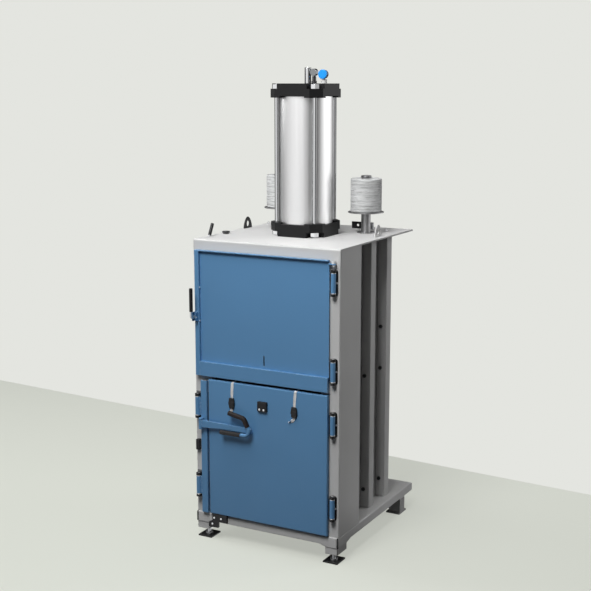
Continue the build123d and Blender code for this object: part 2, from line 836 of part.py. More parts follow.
# Valve body on a white stem, with a spindle for the blue knob
stem_radius = 14.5
stem_height = 20.0
valve_neck_radius = 6.0
valve_height = 45.0
valve_radius = 21.0
valve_length = 16.0
knob_radius = 23.5
knob_length = 12.0
knob_gap = 1.0
knob_spindle_radius = 5.0
with BuildPart() as valve_body:
    with BuildSketch(flat(cylinder_top)):
        with Locations(valve_place):
            Circle(stem_radius)
    extrude(amount=stem_height)
    with BuildSketch(flat(cylinder_top)):
        with Locations(valve_place):
            Circle(valve_neck_radius)
    extrude(amount=valve_height)
    with BuildSketch(flat(cylinder_top)):
        with Locations(valve_place):
            Circle(thread_radius)
    extrude(amount=-cap_height / 3)
    with BuildSketch(facing(valve_place[1] + valve_length / 2)):
        with Locations((valve_place[0], cylinder_top + valve_height)):
            Circle(valve_radius)
    extrude(amount=valve_length)
    with BuildSketch(facing(valve_place[1] - valve_length / 2)):
        with Locations((valve_place[0], cylinder_top + valve_height)):
            Circle(knob_spindle_radius)
    extrude(amount=knob_length * 0.75)
valve_body.part.label = "valve_body"
export_step(valve_body.part, "parts/valve_body.step")

with BuildPart() as valve_knob:
    with BuildSketch(facing(valve_place[1] - valve_length / 2 - knob_gap)):
        with Locations((valve_place[0], cylinder_top + valve_height)):
            Circle(knob_radius)
    extrude(amount=knob_length)
    fillet(valve_knob.edges().group_by(Axis.Y)[0], 2.5)
    with BuildSketch(facing(valve_place[1] - valve_length / 2)):
        with Locations((valve_place[0], cylinder_top + valve_height)):
            Circle(knob_spindle_radius + running_gap)
    extrude(amount=knob_length * 0.75 + knob_gap, mode=Mode.SUBTRACT)
valve_knob.part.label = "valve_knob"
export_step(valve_knob.part, "parts/valve_knob.step")

# Spool posts: a tube on the roof, a disc that carries the roll, and the roll's spindle
spool_disc_bottom = roof_top + spool_tube_height
spool_disc_top = spool_disc_bottom + spool_disc_sheet
spindle_top = spool_disc_top + roll_height + spool_cap_height + 2
foot_disc_radius = 45.0
foot_disc_sheet = 5.0
for side_name, side in (("left", -1), ("right", 1)):
    with BuildPart() as spool_post:
        with BuildSketch(flat(roof_top)):
            with Locations((side * spool_x, spool_depth)):
                Circle(foot_disc_radius)
        extrude(amount=foot_disc_sheet)
        with BuildSketch(flat(roof_top)):
            with Locations((side * spool_x, spool_depth)):
                Circle(spool_tube_radius)
        extrude(amount=spool_tube_height)
        with BuildSketch(flat(spool_disc_bottom)):
            with Locations((side * spool_x, spool_depth)):
                Circle(spool_disc_radius)
        extrude(amount=spool_disc_sheet)
        with BuildSketch(flat(spool_disc_top)):
            with Locations((side * spool_x, spool_depth)):
                Circle(spindle_radius)
        extrude(amount=spindle_top - spool_disc_top)
    spool_post.part.label = f"spool_post_{side_name}"
    export_step(spool_post.part, f"parts/spool_post_{side_name}.step")

    # the roll is a wound cylinder whose layers show as shallow grooves
    roll_bottom = spool_disc_top + 0.3
    turn = (roll_height - 2) / roll_turns
    outline = [(spindle_radius + running_gap, roll_bottom), (roll_radius - 3, roll_bottom)]
    for row in range(roll_turns):
        outline.append((roll_radius, roll_bottom + turn * (row + 0.2)))
        outline.append((roll_radius, roll_bottom + turn * (row + 0.8)))
        outline.append((roll_radius - roll_groove, roll_bottom + turn * (row + 1)))
    outline.append((spindle_radius + running_gap, roll_bottom + turn * roll_turns))
    with BuildPart() as twine_roll:
        with BuildSketch(Plane(origin=(side * spool_x, front + spool_depth, 0), x_dir=(1, 0, 0), z_dir=(0, -1, 0))):
            with BuildLine():
                Polyline(*outline, close=True)
            make_face()
        revolve(axis=Axis((side * spool_x, front + spool_depth, 0), (0, 0, 1)))
    twine_roll.part.label = f"twine_roll_{side_name}"
    export_step(twine_roll.part, f"parts/twine_roll_{side_name}.step")

# Turned caps on the two spindles
with BuildPart() as spool_caps:
    with BuildSketch(flat(spool_disc_top + roll_height)):
        with Locations((-spool_x, spool_depth), (spool_x, spool_depth)):
            Circle(spool_cap_radius)
            Circle(spindle_radius + seat_gap, mode=Mode.SUBTRACT)
    extrude(amount=spool_cap_height)
    chamfer(spool_caps.edges().group_by(Axis.Z)[-1], 2)
spool_caps.part.label = "spool_caps"
export_step(spool_caps.part, "parts/spool_caps.step")

# Twine guides: a flat bar behind each spool post, with a hole for the twine
guide_width = 125.0
guide_height = 36.0
guide_sheet = 6.0
guide_shift = 30.0
guide_bottom = roof_top + 16.0
guide_hole = 7.0
with BuildPart() as twine_guides:
    for side in (-1, 1):
        guide_middle = side * (spool_x - guide_shift)
        with BuildSketch(facing(spool_depth + spool_tube_radius + seat_gap + guide_sheet)):
            with Locations((guide_middle, guide_bottom + guide_height / 2)):
                Rectangle(guide_width, guide_height)
            with Locations((guide_middle - side * 0.22 * guide_width, guide_bottom + guide_height / 2)):
                Circle(guide_hole, mode=Mode.SUBTRACT)
        extrude(amount=guide_sheet)
twine_guides.part.label = "twine_guides"
export_step(twine_guides.part, "parts/twine_guides.step")

# Lifting eyes: tapered plates with an oval hole, welded to the roof
eye_insets = (14.0, 40.0)
eye_places = [(eye_insets[0] - half_width, 509.0), (half_width - eye_insets[1], 509.0)]
eye_base = 80.0
eye_height = 61.0
eye_top_radius = 13.0
eye_foot = 8.0
eye_sheet = 6.0
eye_hole_bottom = 15.0
eye_hole_top = 49.0
eye_hole_base = 50.0
eye_hole_head = 13.0
eye_hole_corner = 5.0
with BuildPart() as lifting_eyes:
    for x, depth in eye_places:
        with BuildSketch(side_on(x)):
            with BuildLine():
                Polyline(
                    (depth - eye_base / 2, roof_top),
                    (depth - eye_base / 2, roof_top + eye_foot),
                    (depth - eye_top_radius, roof_top + eye_height - eye_top_radius),
                    (depth + eye_top_radius, roof_top + eye_height - eye_top_radius),
                    (depth + eye_base / 2, roof_top + eye_foot),
                    (depth + eye_base / 2, roof_top),
                    close=True,
                )
            make_face()
            with Locations((depth, roof_top + eye_height - eye_top_radius)):
                Circle(eye_top_radius)
        extrude(amount=eye_sheet / 2, both=True)
        # the hole narrows upwards as the plate does
        with BuildSketch(side_on(x)) as hole:
            with BuildLine():
                Polyline(
                    (depth - eye_hole_base / 2, roof_top + eye_hole_bottom),
                    (depth + eye_hole_base / 2, roof_top + eye_hole_bottom),
                    (depth + eye_hole_head / 2, roof_top + eye_hole_top),
                    (depth - eye_hole_head / 2, roof_top + eye_hole_top),
                    close=True,
                )
            make_face()
            fillet(hole.vertices(), eye_hole_corner)
        extrude(amount=eye_sheet / 2, both=True, mode=Mode.SUBTRACT)
lifting_eyes.part.label = "lifting_eyes"
export_step(lifting_eyes.part, "parts/lifting_eyes.step")

# Control lever: a flat arm on the axle under the roof, leaning back, with a round grip
lever_lean = 27.0
pivot_height = roof_under - lever_pivot_drop
arm_length = 100.0
grip_length = 60.0
control_grip_radius = 8.5
arm_plane = Plane(
    origin=(lever_slot[0], front + lever_slot[1], pivot_height),
    x_dir=(0, math.cos(math.radians(lever_lean)), -math.sin(math.radians(lever_lean))),
    z_dir=(1, 0, 0),
)
arm_axis_plane = Plane(
    origin=(lever_slot[0], front + lever_slot[1], pivot_height),
    x_dir=(1, 0, 0),
    z_dir=(0, math.sin(math.radians(lever_lean)), math.cos(math.radians(lever_lean))),
)
arm_half = 3.0
grip_start = arm_length - grip_length
with BuildPart() as control_lever:
    with BuildSketch(arm_plane):
        Circle(9)
        with Locations((0, arm_length / 2)):
            Rectangle(10, arm_length)
        Circle(lever_axle_radius + running_gap, mode=Mode.SUBTRACT)
    extrude(amount=arm_half, both=True)
control_lever.part.label = "control_lever"
export_step(control_lever.part, "parts/control_lever.step")

with BuildPart() as control_grip:
    with BuildSketch(arm_axis_plane.offset(grip_start)):
        Circle(control_grip_radius)
    extrude(amount=grip_length + 3)
    fillet(control_grip.edges().group_by(Axis.Z)[-1], 2)
    with BuildSketch(arm_axis_plane.offset(grip_start)):
        Rectangle(2 * arm_half + 2 * running_gap, 10 + 2 * running_gap)
    extrude(amount=grip_length, mode=Mode.SUBTRACT)
control_grip.part.label = "control_grip"
export_step(control_grip.part, "parts/control_grip.step")

# Push button: a flat round cap whose stem runs in a collar
button_radius = 20.0
button_travel = 4.0
button_cap = 7.0
collar_height = 2.0
button_rise = collar_height + button_travel + seat_gap
with BuildPart() as push_button:
    with BuildSketch(flat(roof_top + button_rise)):
        with Locations(button_place):
            Circle(button_radius)
    extrude(amount=button_cap)
    fillet(push_button.edges().group_by(Axis.Z)[-1], 2)
    with BuildSketch(flat(roof_top + button_rise)):
        with Locations(button_place):
            Circle(button_stem_radius - wall_sheet / 2)
    extrude(amount=-button_rise - roof_sheet - wall_sheet)
push_button.part.label = "push_button"
export_step(push_button.part, "parts/push_button.step")

with BuildPart() as button_collar:
    with BuildSketch(flat(roof_top)):
        with Locations(button_place):
            Circle(0.8 * button_radius)
    extrude(amount=collar_height)
    with BuildSketch(flat(roof_top)):
        with Locations(button_place):
            Circle(button_stem_radius)
    extrude(amount=-roof_sheet)
    with BuildSketch(flat(roof_top + collar_height)):
        with Locations(button_place):
            Circle(button_stem_radius - wall_sheet / 2 + running_gap)
    extrude(amount=-2 * roof_sheet, mode=Mode.SUBTRACT)
button_collar.part.label = "button_collar"
export_step(button_collar.part, "parts/button_collar.step")

# Hinges. Each has a leaf with two capped knuckles, a barrel on the door and a pin with washers
knuckle_offset = (hinge_length - hinge_cap) / 2
hinge_centres = upper_hinge_centres + lower_hinge_centres
washer_gap = 0.3
barrel_length = hinge_length - 2 * hinge_cap - 2 * hinge_washer - 4 * washer_gap
knuckle_radius = barrel_radius + 1
screw_radius = 3.0
screw_head = 5.0
screw_head_height = 2.5
screw_inset = 5.2
back_front = -door_gap - back_sheet


def hinge_leaf(centre, x, side, reach, seat):
    """One leaf on a face at the depth of its seat, reaching past the axis to one side."""
    leaf_face = seat - hinge_sheet
    axis_depth = seat - hinge_axis_reach
    with BuildPart() as leaf:
        with BuildSketch(facing(seat)):
            with Locations((x + side * (reach - leaf_width / 2), centre)):
                RectangleRounded(leaf_width, hinge_length, leaf_corner)
        extrude(amount=hinge_sheet)
        for end in (-1, 1):
            with BuildSketch(flat(centre + end * knuckle_offset - hinge_cap / 2)):
                with Locations((x, axis_depth)):
                    Circle(knuckle_radius)
                with Locations((x, (axis_depth + leaf_face) / 2)):
                    Rectangle(barrel_radius, leaf_face - axis_depth)
                with Locations((x, axis_depth)):
                    Circle(pin_radius + running_gap, mode=Mode.SUBTRACT)
            extrude(amount=hinge_cap)
    return leaf.part


def hinge_pin(centre, x, axis_depth):
    """A pin through both knuckles, with a washer at each end of the barrel."""
    with BuildPart() as pin:
        with BuildSketch(flat(centre - hinge_length / 2)):
            with Locations((x, axis_depth)):
                Circle(pin_radius)
        extrude(amount=hinge_length)
        for end in (-1, 1):
            middle = centre + end * (barrel_length / 2 + washer_gap + hinge_washer / 2)
            with BuildSketch(flat(middle - hinge_washer / 2)):
                with Locations((x, axis_depth)):
                    Circle(barrel_radius)
            extrude(amount=hinge_washer)
    return pin.part


def hinge_barrel(centre, x, axis_depth, edge, depth):
    """A barrel bored for the pin, with a web at one depth to the edge of the door."""
    with BuildPart() as barrel:
        with BuildSketch(flat(centre - barrel_length / 2)):
            with Locations((x, axis_depth)):
                Circle(barrel_radius)
            with Locations(((x + edge) / 2, depth)):
                Rectangle(abs(x - edge), web_sheet)
            with Locations((x, axis_depth)):
                Circle(pin_radius + running_gap, mode=Mode.SUBTRACT)
        extrude(amount=barrel_length)
    return barrel.part


screw_x = hinge_x + leaf_reach - screw_inset
web_depth = -hinge_sheet - web_sheet / 2 - 2 * washer_gap
right_leaves = [hinge_leaf(centre, hinge_x, 1, leaf_reach, 0) for centre in hinge_centres]
with BuildPart() as hinge_leaves:
    add(right_leaves)
    with BuildSketch(facing(0)):
        with Locations(*[(screw_x, centre) for centre in hinge_centres]):
            Circle(screw_radius + seat_gap)
    extrude(amount=hinge_sheet, mode=Mode.SUBTRACT)
hinge_leaves.part.label = "hinge_leaves"
export_step(hinge_leaves.part, "parts/hinge_leaves.step")

right_pins = [hinge_pin(centre, hinge_x, -hinge_axis_reach) for centre in hinge_centres]
with BuildPart() as hinge_pins:
    add(right_pins)
hinge_pins.part.label = "hinge_pins"
export_step(hinge_pins.part, "parts/hinge_pins.step")

# Door rest: a stepped black block on the base, just under the lower door
rest_thickness = 16.0
rest_gap = 0.4
rest_top = lower_door_bottom - rest_gap
rest_left = -328.0
rest_right = -221.0
rest_foot_width = 55.0
rest_foot_bottom = 71.0
rest_foot_top = 97.0
rest_step = 22.0
rest_body_bottom = 105.0
rest_screws = [(-294.0, 124.0), (-253.0, 124.0), (-305.0, 90.0)]
with BuildPart() as door_rest:
    with BuildSketch(facing(-base_lip)):
        with BuildLine():
            Polyline(
                (rest_left + rest_step, rest_top),
                (rest_right, rest_top),
                (rest_right, rest_body_bottom),
                (rest_left + rest_foot_width, rest_body_bottom),
                (rest_left + rest_foot_width, rest_foot_bottom),
                (rest_left, rest_foot_bottom),
                (rest_left, rest_foot_top),
                (rest_left + rest_step, rest_foot_top + rest_step / 2),
                close=True,
            )
        make_face()
        with Locations(*rest_screws):
            Circle(screw_radius + seat_gap, mode=Mode.SUBTRACT)
    extrude(amount=rest_thickness)
    chamfer(door_rest.faces().sort_by(Axis.Y)[0].outer_wire().edges(), 1)
door_rest.part.label = "door_rest"
export_step(door_rest.part, "parts/door_rest.step")

# Fasteners on the cabinet: hinge and rest screws, bolts in the side posts and two on the roof
bolt_width = 18.0
bolt_head = 8.0
roof_nut = 17.0
roof_nut_height = 7.0
roof_bolt_rise = 14.0
with BuildPart() as body_fasteners:
    with BuildSketch(facing(-hinge_sheet)):
        with Locations(*[(screw_x, centre) for centre in hinge_centres]):
            Circle(screw_head)
    extrude(amount=screw_head_height)
    with BuildSketch(facing(-hinge_sheet)):
        with Locations(*[(screw_x, centre) for centre in hinge_centres]):
            Circle(screw_radius)
    extrude(amount=-hinge_sheet)
    with BuildSketch(facing(-base_lip - rest_thickness)):
        with Locations(*rest_screws):
            Circle(screw_head)
    extrude(amount=screw_head_height)
    with BuildSketch(facing(-base_lip - rest_thickness)):
        with Locations(*rest_screws):
            Circle(screw_radius)
    extrude(amount=-rest_thickness)
    for depth, height in post_bolts:
        bolt_places = [(side * post_bolt_x, height) for side in (-1, 1)]
        with BuildSketch(facing(depth)):
            with Locations(*bolt_places):
                RegularPolygon(bolt_width / 2, 6, major_radius=False)
        extrude(amount=bolt_head)
        with BuildSketch(facing(depth)):
            with Locations(*bolt_places):
                Circle(post_bolt_radius)
        extrude(amount=-3 * post_wall)
    with BuildSketch(flat(roof_top)):
        with Locations(*roof_bolt_places):
            RegularPolygon(roof_nut / 2, 6, major_radius=False)
    extrude(amount=roof_nut_height)
    with BuildSketch(flat(roof_under)):
        with Locations(*roof_bolt_places):
            Circle(roof_bolt_radius)
    extrude(amount=roof_sheet + roof_bolt_rise)
body_fasteners.part.label = "body_fasteners"
export_step(body_fasteners.part, "parts/body_fasteners.step")

# Door sensor on the left column
with BuildPart() as door_sensor:
    with BuildSketch(facing(0)):
        with Locations((sensor_left + sensor_width / 2, sensor_bottom + sensor_height / 2)):
            RectangleRounded(sensor_width, sensor_height, 3)
    extrude(amount=sensor_thickness)
    chamfer(door_sensor.edges().group_by(Axis.Y)[0], 1.5)
door_sensor.part.label = "door_sensor"
export_step(door_sensor.part, "parts/door_sensor.step")

# Upper door panel: a sheet folded forward at the top, with hinge barrels and a pivot lug
panel_front = -door_standoff + panel_recess
panel_rear = panel_front + door_sheet
strip_right = strip_left + strip_width
panel_width = door_right - strip_right
panel_height = upper_door_top - upper_door_bottom
panel_middle = (door_right + strip_right) / 2
lug_top = 1499.0
lug_sheet = 6.0
lug_radius = 13.0
lug_bolt_radius = 5.0
upper_barrels = [
    hinge_barrel(centre, hinge_x, -hinge_axis_reach, door_right, web_depth)
    for centre in upper_hinge_centres
]
with BuildPart() as upper_door_panel:
    with BuildSketch(facing(panel_rear)):
        with Locations((panel_middle, (upper_door_top + upper_door_bottom) / 2)):
            Rectangle(panel_width, panel_height)
        with Locations((0, view_slot_bottom + view_slot_height / 2)):
            SlotOverall(view_slot_height, view_slot_width, rotation=90, mode=Mode.SUBTRACT)
    extrude(amount=door_sheet)
    with BuildSketch(facing(panel_front)):
        with Locations((panel_middle, upper_door_top - lip_sheet / 2)):
            Rectangle(panel_width, lip_sheet)
    extrude(amount=panel_recess)
    with BuildSketch(flat(lug_top)):
        with Locations((hinge_x, -hinge_axis_reach)):
            Circle(lug_radius)
        with Locations(((hinge_x + door_right) / 2, -hinge_axis_reach)):
            Rectangle(hinge_x - door_right, 2 * lug_radius - 6)
        with Locations((hinge_x, -hinge_axis_reach)):
            Circle(lug_bolt_radius + running_gap, mode=Mode.SUBTRACT)
    extrude(amount=-lug_sheet)
    add(upper_barrels)
upper_door_panel.part.label = "upper_door_panel"
export_step(upper_door_panel.part, "parts/upper_door_panel.step")

# Upper door frame: the folded strip down the left side and the bar along the bottom
with BuildPart() as upper_door_frame:
    with BuildSketch(facing(-door_gap)):
        with Locations((strip_left + strip_width / 2, (upper_door_top + upper_door_bottom) / 2)):
            Rectangle(strip_width, panel_height)
    extrude(amount=door_standoff - door_gap)
    fillet(upper_door_frame.edges().filter_by(Axis.Z).group_by(Axis.Y)[0], strip_sheet)
    with BuildSketch(facing(-door_gap)):
        with Locations((strip_left + strip_width / 2, (upper_door_top + upper_door_bottom) / 2)):
            Rectangle(strip_width - 2 * strip_sheet, panel_height - 2 * strip_sheet)
    extrude(amount=door_standoff - door_gap - strip_sheet, mode=Mode.SUBTRACT)
    with BuildSketch(facing(panel_front)):
        with Locations((panel_middle, upper_door_bottom + bar_height / 2)):
            Rectangle(panel_width, bar_height)
            Rectangle(panel_width - 2 * strip_sheet, bar_height - 2 * strip_sheet, mode=Mode.SUBTRACT)
    extrude(amount=panel_recess - strip_sheet)
    with BuildSketch(facing(-door_standoff + strip_sheet)):
        with Locations((panel_middle, upper_door_bottom + bar_height / 2)):
            Rectangle(panel_width, bar_height)
    extrude(amount=strip_sheet)
upper_door_frame.part.label = "upper_door_frame"
export_step(upper_door_frame.part, "parts/upper_door_frame.step")

# Upper door liner: a shallow pan on the back of the panel, inside the chamber's mouth
liner_half = chamber_half - wall_sheet - liner_margin
liner_rear = liner_depth - door_gap
liner_top = column_top - 2 * liner_margin
liner_bottom = upper_door_bottom + 2 * liner_sheet
liner_height = liner_top - liner_bottom
with BuildPart() as upper_door_liner:
    with BuildSketch(facing(liner_rear)):
        with Locations((0, liner_bottom + liner_height / 2)):
            Rectangle(2 * liner_half, liner_height)
    extrude(amount=liner_rear - panel_rear)
    with BuildSketch(facing(liner_rear - liner_sheet)):
        with Locations((0, liner_bottom + liner_height / 2)):
            Rectangle(2 * (liner_half - liner_sheet), liner_height - 2 * liner_sheet)
    extrude(amount=liner_rear - panel_rear, mode=Mode.SUBTRACT)
upper_door_liner.part.label = "upper_door_liner"
export_step(upper_door_liner.part, "parts/upper_door_liner.step")

# Latch bracket: a folded clevis on the strip
latch_pin_depth = -door_standoff - latch_pin_standoff
latch_middle = latch_height + 2.0
with BuildPart() as latch_bracket:
    with BuildSketch(facing(-door_standoff)):
        with Locations((latch_x, latch_middle)):
            Rectangle(latch_ear_width, latch_bracket_height)
    extrude(amount=latch_ear_sheet)
    with BuildSketch(side_on(latch_x - latch_ear_width / 2)):
        with Locations((-door_standoff - latch_ear_reach / 2, latch_middle)):
            Rectangle(latch_ear_reach, latch_bracket_height)
    extrude(amount=latch_ear_width)
    fillet(latch_bracket.edges().filter_by(Axis.X).group_by(Axis.Y)[0], 2 * latch_ear_sheet)
    with BuildSketch(side_on(latch_x)):
        with Locations((-door_standoff - latch_ear_sheet - latch_ear_reach / 2, latch_middle)):
            Rectangle(latch_ear_reach, latch_bracket_height)
    extrude(amount=latch_ear_width / 2 - latch_ear_sheet, both=True, mode=Mode.SUBTRACT)
    with BuildSketch(side_on(latch_x)):
        with Locations((latch_pin_depth, latch_height)):
            Circle(latch_pin_radius + running_gap)
    extrude(amount=latch_ear_width, both=True, mode=Mode.SUBTRACT)
latch_bracket.part.label = "latch_bracket"
export_step(latch_bracket.part, "parts/latch_bracket.step")

# Latch lever: a flat bar bent out from the pin and up into the grip
latch_grip_depth = -door_standoff - latch_standoff
latch_eye_radius = 8.0
latch_arm_top = latch_grip_bottom + latch_grip_length - latch_ear_sheet
with BuildPart() as latch_lever:
    with BuildSketch(side_on(latch_x)):
        with BuildLine():
            FilletPolyline(
                (latch_pin_depth, latch_height),
                (latch_grip_depth, latch_height),
                (latch_grip_depth, latch_arm_top),
                radius=1.2 * latch_arm_width,
            )
        trace(line_width=latch_arm_width)
        with Locations((latch_pin_depth, latch_height)):
            Circle(latch_eye_radius)
            Circle(latch_pin_radius + running_gap, mode=Mode.SUBTRACT)
    extrude(amount=latch_arm_sheet / 2, both=True)
latch_lever.part.label = "latch_lever"
export_step(latch_lever.part, "parts/latch_lever.step")

with BuildPart() as latch_grip:
    with BuildSketch(flat(latch_grip_bottom)):
        with Locations((latch_x, latch_grip_depth)):
            Circle(latch_grip_radius)
    extrude(amount=latch_grip_length)
    fillet(latch_grip.edges().group_by(Axis.Z)[-1], 3)
    with BuildSketch(flat(latch_grip_bottom)):
        with Locations((latch_x, latch_grip_depth)):
            Rectangle(latch_arm_sheet + 2 * running_gap, latch_arm_width + 2 * running_gap)
    extrude(amount=latch_arm_top - latch_grip_bottom + running_gap, mode=Mode.SUBTRACT)
latch_grip.part.label = "latch_grip"
export_step(latch_grip.part, "parts/latch_grip.step")

# Fasteners on the upper door: the latch pin, two strip screws and the bolt in the pivot lug
strip_screw_heights = (1326.0, 1155.0)
strip_screw_depth = -18.0
lug_bolt_width = 17.0
lug_bolt_head = 13.0
with BuildPart() as upper_door_fasteners:
    with BuildSketch(side_on(latch_x)):
        with Locations((latch_pin_depth, latch_height)):
            Circle(latch_pin_radius)
    extrude(amount=latch_ear_width / 2 + 2, both=True)
    with BuildSketch(side_on(strip_right)):
        with Locations(*[(strip_screw_depth, height) for height in strip_screw_heights]):
            Circle(screw_head)
    extrude(amount=screw_head_height)
    with BuildSketch(flat(lug_top)):
        with Locations((hinge_x, -hinge_axis_reach)):
            RegularPolygon(lug_bolt_width / 2, 6, major_radius=False)
    extrude(amount=lug_bolt_head)
    with BuildSketch(flat(lug_top)):
        with Locations((hinge_x, -hinge_axis_reach)):
            Circle(lug_bolt_radius)
    extrude(amount=-2.5 * lug_sheet)
upper_door_fasteners.part.label = "upper_door_fasteners"
export_step(upper_door_fasteners.part, "parts/upper_door_fasteners.step")

# Lower door panel: a tray whose edges are folded back, with its hinge barrels
lower_front = -door_standoff + door_gap
lower_width = door_right - lower_door_left
lower_middle = (door_right + lower_door_left) / 2
lower_height = lower_door_top - lower_door_bottom
lower_centre = (lower_door_top + lower_door_bottom) / 2
lower_barrels = [
    hinge_barrel(centre, hinge_x, -hinge_axis_reach, door_right, web_depth)
    for centre in lower_hinge_centres
]
with BuildPart() as lower_door_panel:
    with BuildSketch(facing(back_front)):
        with Locations((lower_middle, lower_centre)):
            Rectangle(lower_width, lower_height)
    extrude(amount=back_front - lower_front)
    fillet(lower_door_panel.edges().group_by(Axis.Y)[0], bend)
    with BuildSketch(facing(back_front)):
        with Locations((lower_middle, lower_centre)):
            Rectangle(lower_width - 2 * door_sheet, lower_height - 2 * door_sheet)
    extrude(amount=back_front - lower_front - door_sheet, mode=Mode.SUBTRACT)
    add(lower_barrels)
lower_door_panel.part.label = "lower_door_panel"
export_step(lower_door_panel.part, "parts/lower_door_panel.step")

# Back of the lower door: a plate with two hinge arms, and the liner pan with slots for bands
arm_height = 145.0
arm_left = strip_hinge_x - strip_leaf_reach
pan_bottom = base_top + 2 * liner_margin
pan_top = lower_door_top - door_sheet
pan_height = pan_top - pan_bottom
band_slot_width = 20.0
with BuildPart() as lower_door_back:
    with BuildSketch(facing(-door_gap)):
        with Locations((lower_middle, lower_centre)):
            Rectangle(lower_width, lower_height)
        for centre in lower_hinge_centres:
            with Locations(((arm_left + lower_door_left) / 2, centre)):
                Rectangle(lower_door_left - arm_left, arm_height)
    extrude(amount=back_sheet)
    with BuildSketch(facing(liner_rear)):
        with Locations((0, pan_bottom + pan_height / 2)):
            Rectangle(2 * liner_half, pan_height)
    extrude(amount=liner_rear + door_gap)
    with BuildSketch(facing(liner_rear - liner_sheet)):
        with Locations((0, pan_bottom + pan_height / 2)):
            Rectangle(2 * (liner_half - liner_sheet), pan_height - 2 * liner_sheet)
    extrude(amount=liner_rear - liner_sheet + door_gap, mode=Mode.SUBTRACT)
    with BuildSketch(facing(liner_rear)):
        for side in (-1, 1):
            with Locations((side * band_x, pan_bottom + pan_height / 2)):
                Rectangle(band_slot_width, pan_height - 4 * band_slot_width)
    extrude(amount=liner_sheet, mode=Mode.SUBTRACT)
lower_door_back.part.label = "lower_door_back"
export_step(lower_door_back.part, "parts/lower_door_back.step")

# Cleats: black blocks on the door front, each with a groove for its band
cleat_groove = 0.5
with BuildPart() as band_cleats:
    with BuildSketch(facing(lower_front)):
        for side in (-1, 1):
            with Locations((side * band_x, cleat_bottom + cleat_height / 2)):
                Rectangle(cleat_width, cleat_height)
    extrude(amount=cleat_thickness)
    chamfer(band_cleats.edges().group_by(Axis.Y)[0], 2)
    with BuildSketch(facing(lower_front)):
        for side in (-1, 1):
            with Locations((side * band_x, cleat_bottom + cleat_height / 2)):
                Rectangle(band_width + 2 * cleat_groove, cleat_height)
    extrude(amount=band_thickness + cleat_groove, mode=Mode.SUBTRACT)
band_cleats.part.label = "band_cleats"
export_step(band_cleats.part, "parts/band_cleats.step")

# Bands: straps folded over the top of the lower door, through the cleats to a loose tail
band_drop = 90.0
tail_turns = (-24.0, -48.0)
with BuildPart() as bands:
    with BuildSketch(side_on(0)):
        with BuildLine():
            Polyline(
                (lower_front, cleat_bottom),
                (lower_front, lower_door_top),
                (liner_rear, lower_door_top),
                (liner_rear, lower_door_top - band_drop),
                (liner_rear + band_thickness, lower_door_top - band_drop),
                (liner_rear + band_thickness, lower_door_top + band_thickness),
                (lower_front - band_thickness, lower_door_top + band_thickness),
                (lower_front - band_thickness, cleat_bottom),
                close=True,
            )
        make_face()
    extrude(amount=band_x + band_width / 2, both=True)
    with BuildSketch(side_on(0)):
        with Locations((0, lower_door_top)):
            Rectangle(4 * door_standoff + 2 * liner_rear, 4 * band_drop + 2 * cleat_height)
    extrude(amount=band_x - band_width / 2, both=True, mode=Mode.SUBTRACT)
    for side, turn in ((-1, tail_turns[0]), (1, tail_turns[1])):
        reach = band_tail * math.sin(math.radians(turn))
        drop = band_tail * math.cos(math.radians(turn))
        with BuildSketch(facing(lower_front)):
            with BuildLine():
                Polyline(
                    (side * band_x - band_width / 2, cleat_bottom),
                    (side * band_x + band_width / 2, cleat_bottom),
                    (side * band_x + band_width / 2 + reach, cleat_bottom - drop),
                    (side * band_x - band_width / 2 + reach, cleat_bottom - drop),
                    close=True,
                )
            make_face()
        extrude(amount=band_thickness)
bands.part.label = "bands"
export_step(bands.part, "parts/bands.step")

# Small black box at the top of the lower door, with two screws
box_screws = [(-12.0, 744.0), (12.0, 744.0)]
box_front = lower_front - box_thickness
with BuildPart() as door_box:
    with BuildSketch(facing(lower_front)):
        with Locations((0, box_bottom + box_height / 2)):
            RectangleRounded(box_size, box_height, 5)
        with Locations(*box_screws):
            Circle(screw_radius + running_gap, mode=Mode.SUBTRACT)
    extrude(amount=box_thickness)
    chamfer(door_box.faces().sort_by(Axis.Y)[0].outer_wire().edges(), 3)
door_box.part.label = "door_box"
export_step(door_box.part, "parts/door_box.step")

# Hinges of the lock strip, on the two arms behind it
strip_leaves = [
    hinge_leaf(centre, strip_hinge_x, -1, strip_leaf_reach, back_front) for centre in lower_hinge_centres
]
with BuildPart() as strip_hinge_leaves:
    add(strip_leaves)
strip_hinge_leaves.part.label = "strip_hinge_leaves"
export_step(strip_hinge_leaves.part, "parts/strip_hinge_leaves.step")

strip_axis_depth = back_front - hinge_axis_reach
strip_pins = [hinge_pin(centre, strip_hinge_x, strip_axis_depth) for centre in lower_hinge_centres]
with BuildPart() as strip_hinge_pins:
    add(strip_pins)
strip_hinge_pins.part.label = "strip_hinge_pins"
export_step(strip_hinge_pins.part, "parts/strip_hinge_pins.step")

# Screws of the box on the lower door
with BuildPart() as lower_door_fasteners:
    with BuildSketch(facing(box_front)):
        with Locations(*box_screws):
            Circle(screw_head)
    extrude(amount=screw_head_height)
    with BuildSketch(facing(box_front)):
        with Locations(*box_screws):
            Circle(screw_radius)
    extrude(amount=-box_thickness)
lower_door_fasteners.part.label = "lower_door_fasteners"
export_step(lower_door_fasteners.part, "parts/lower_door_fasteners.step")

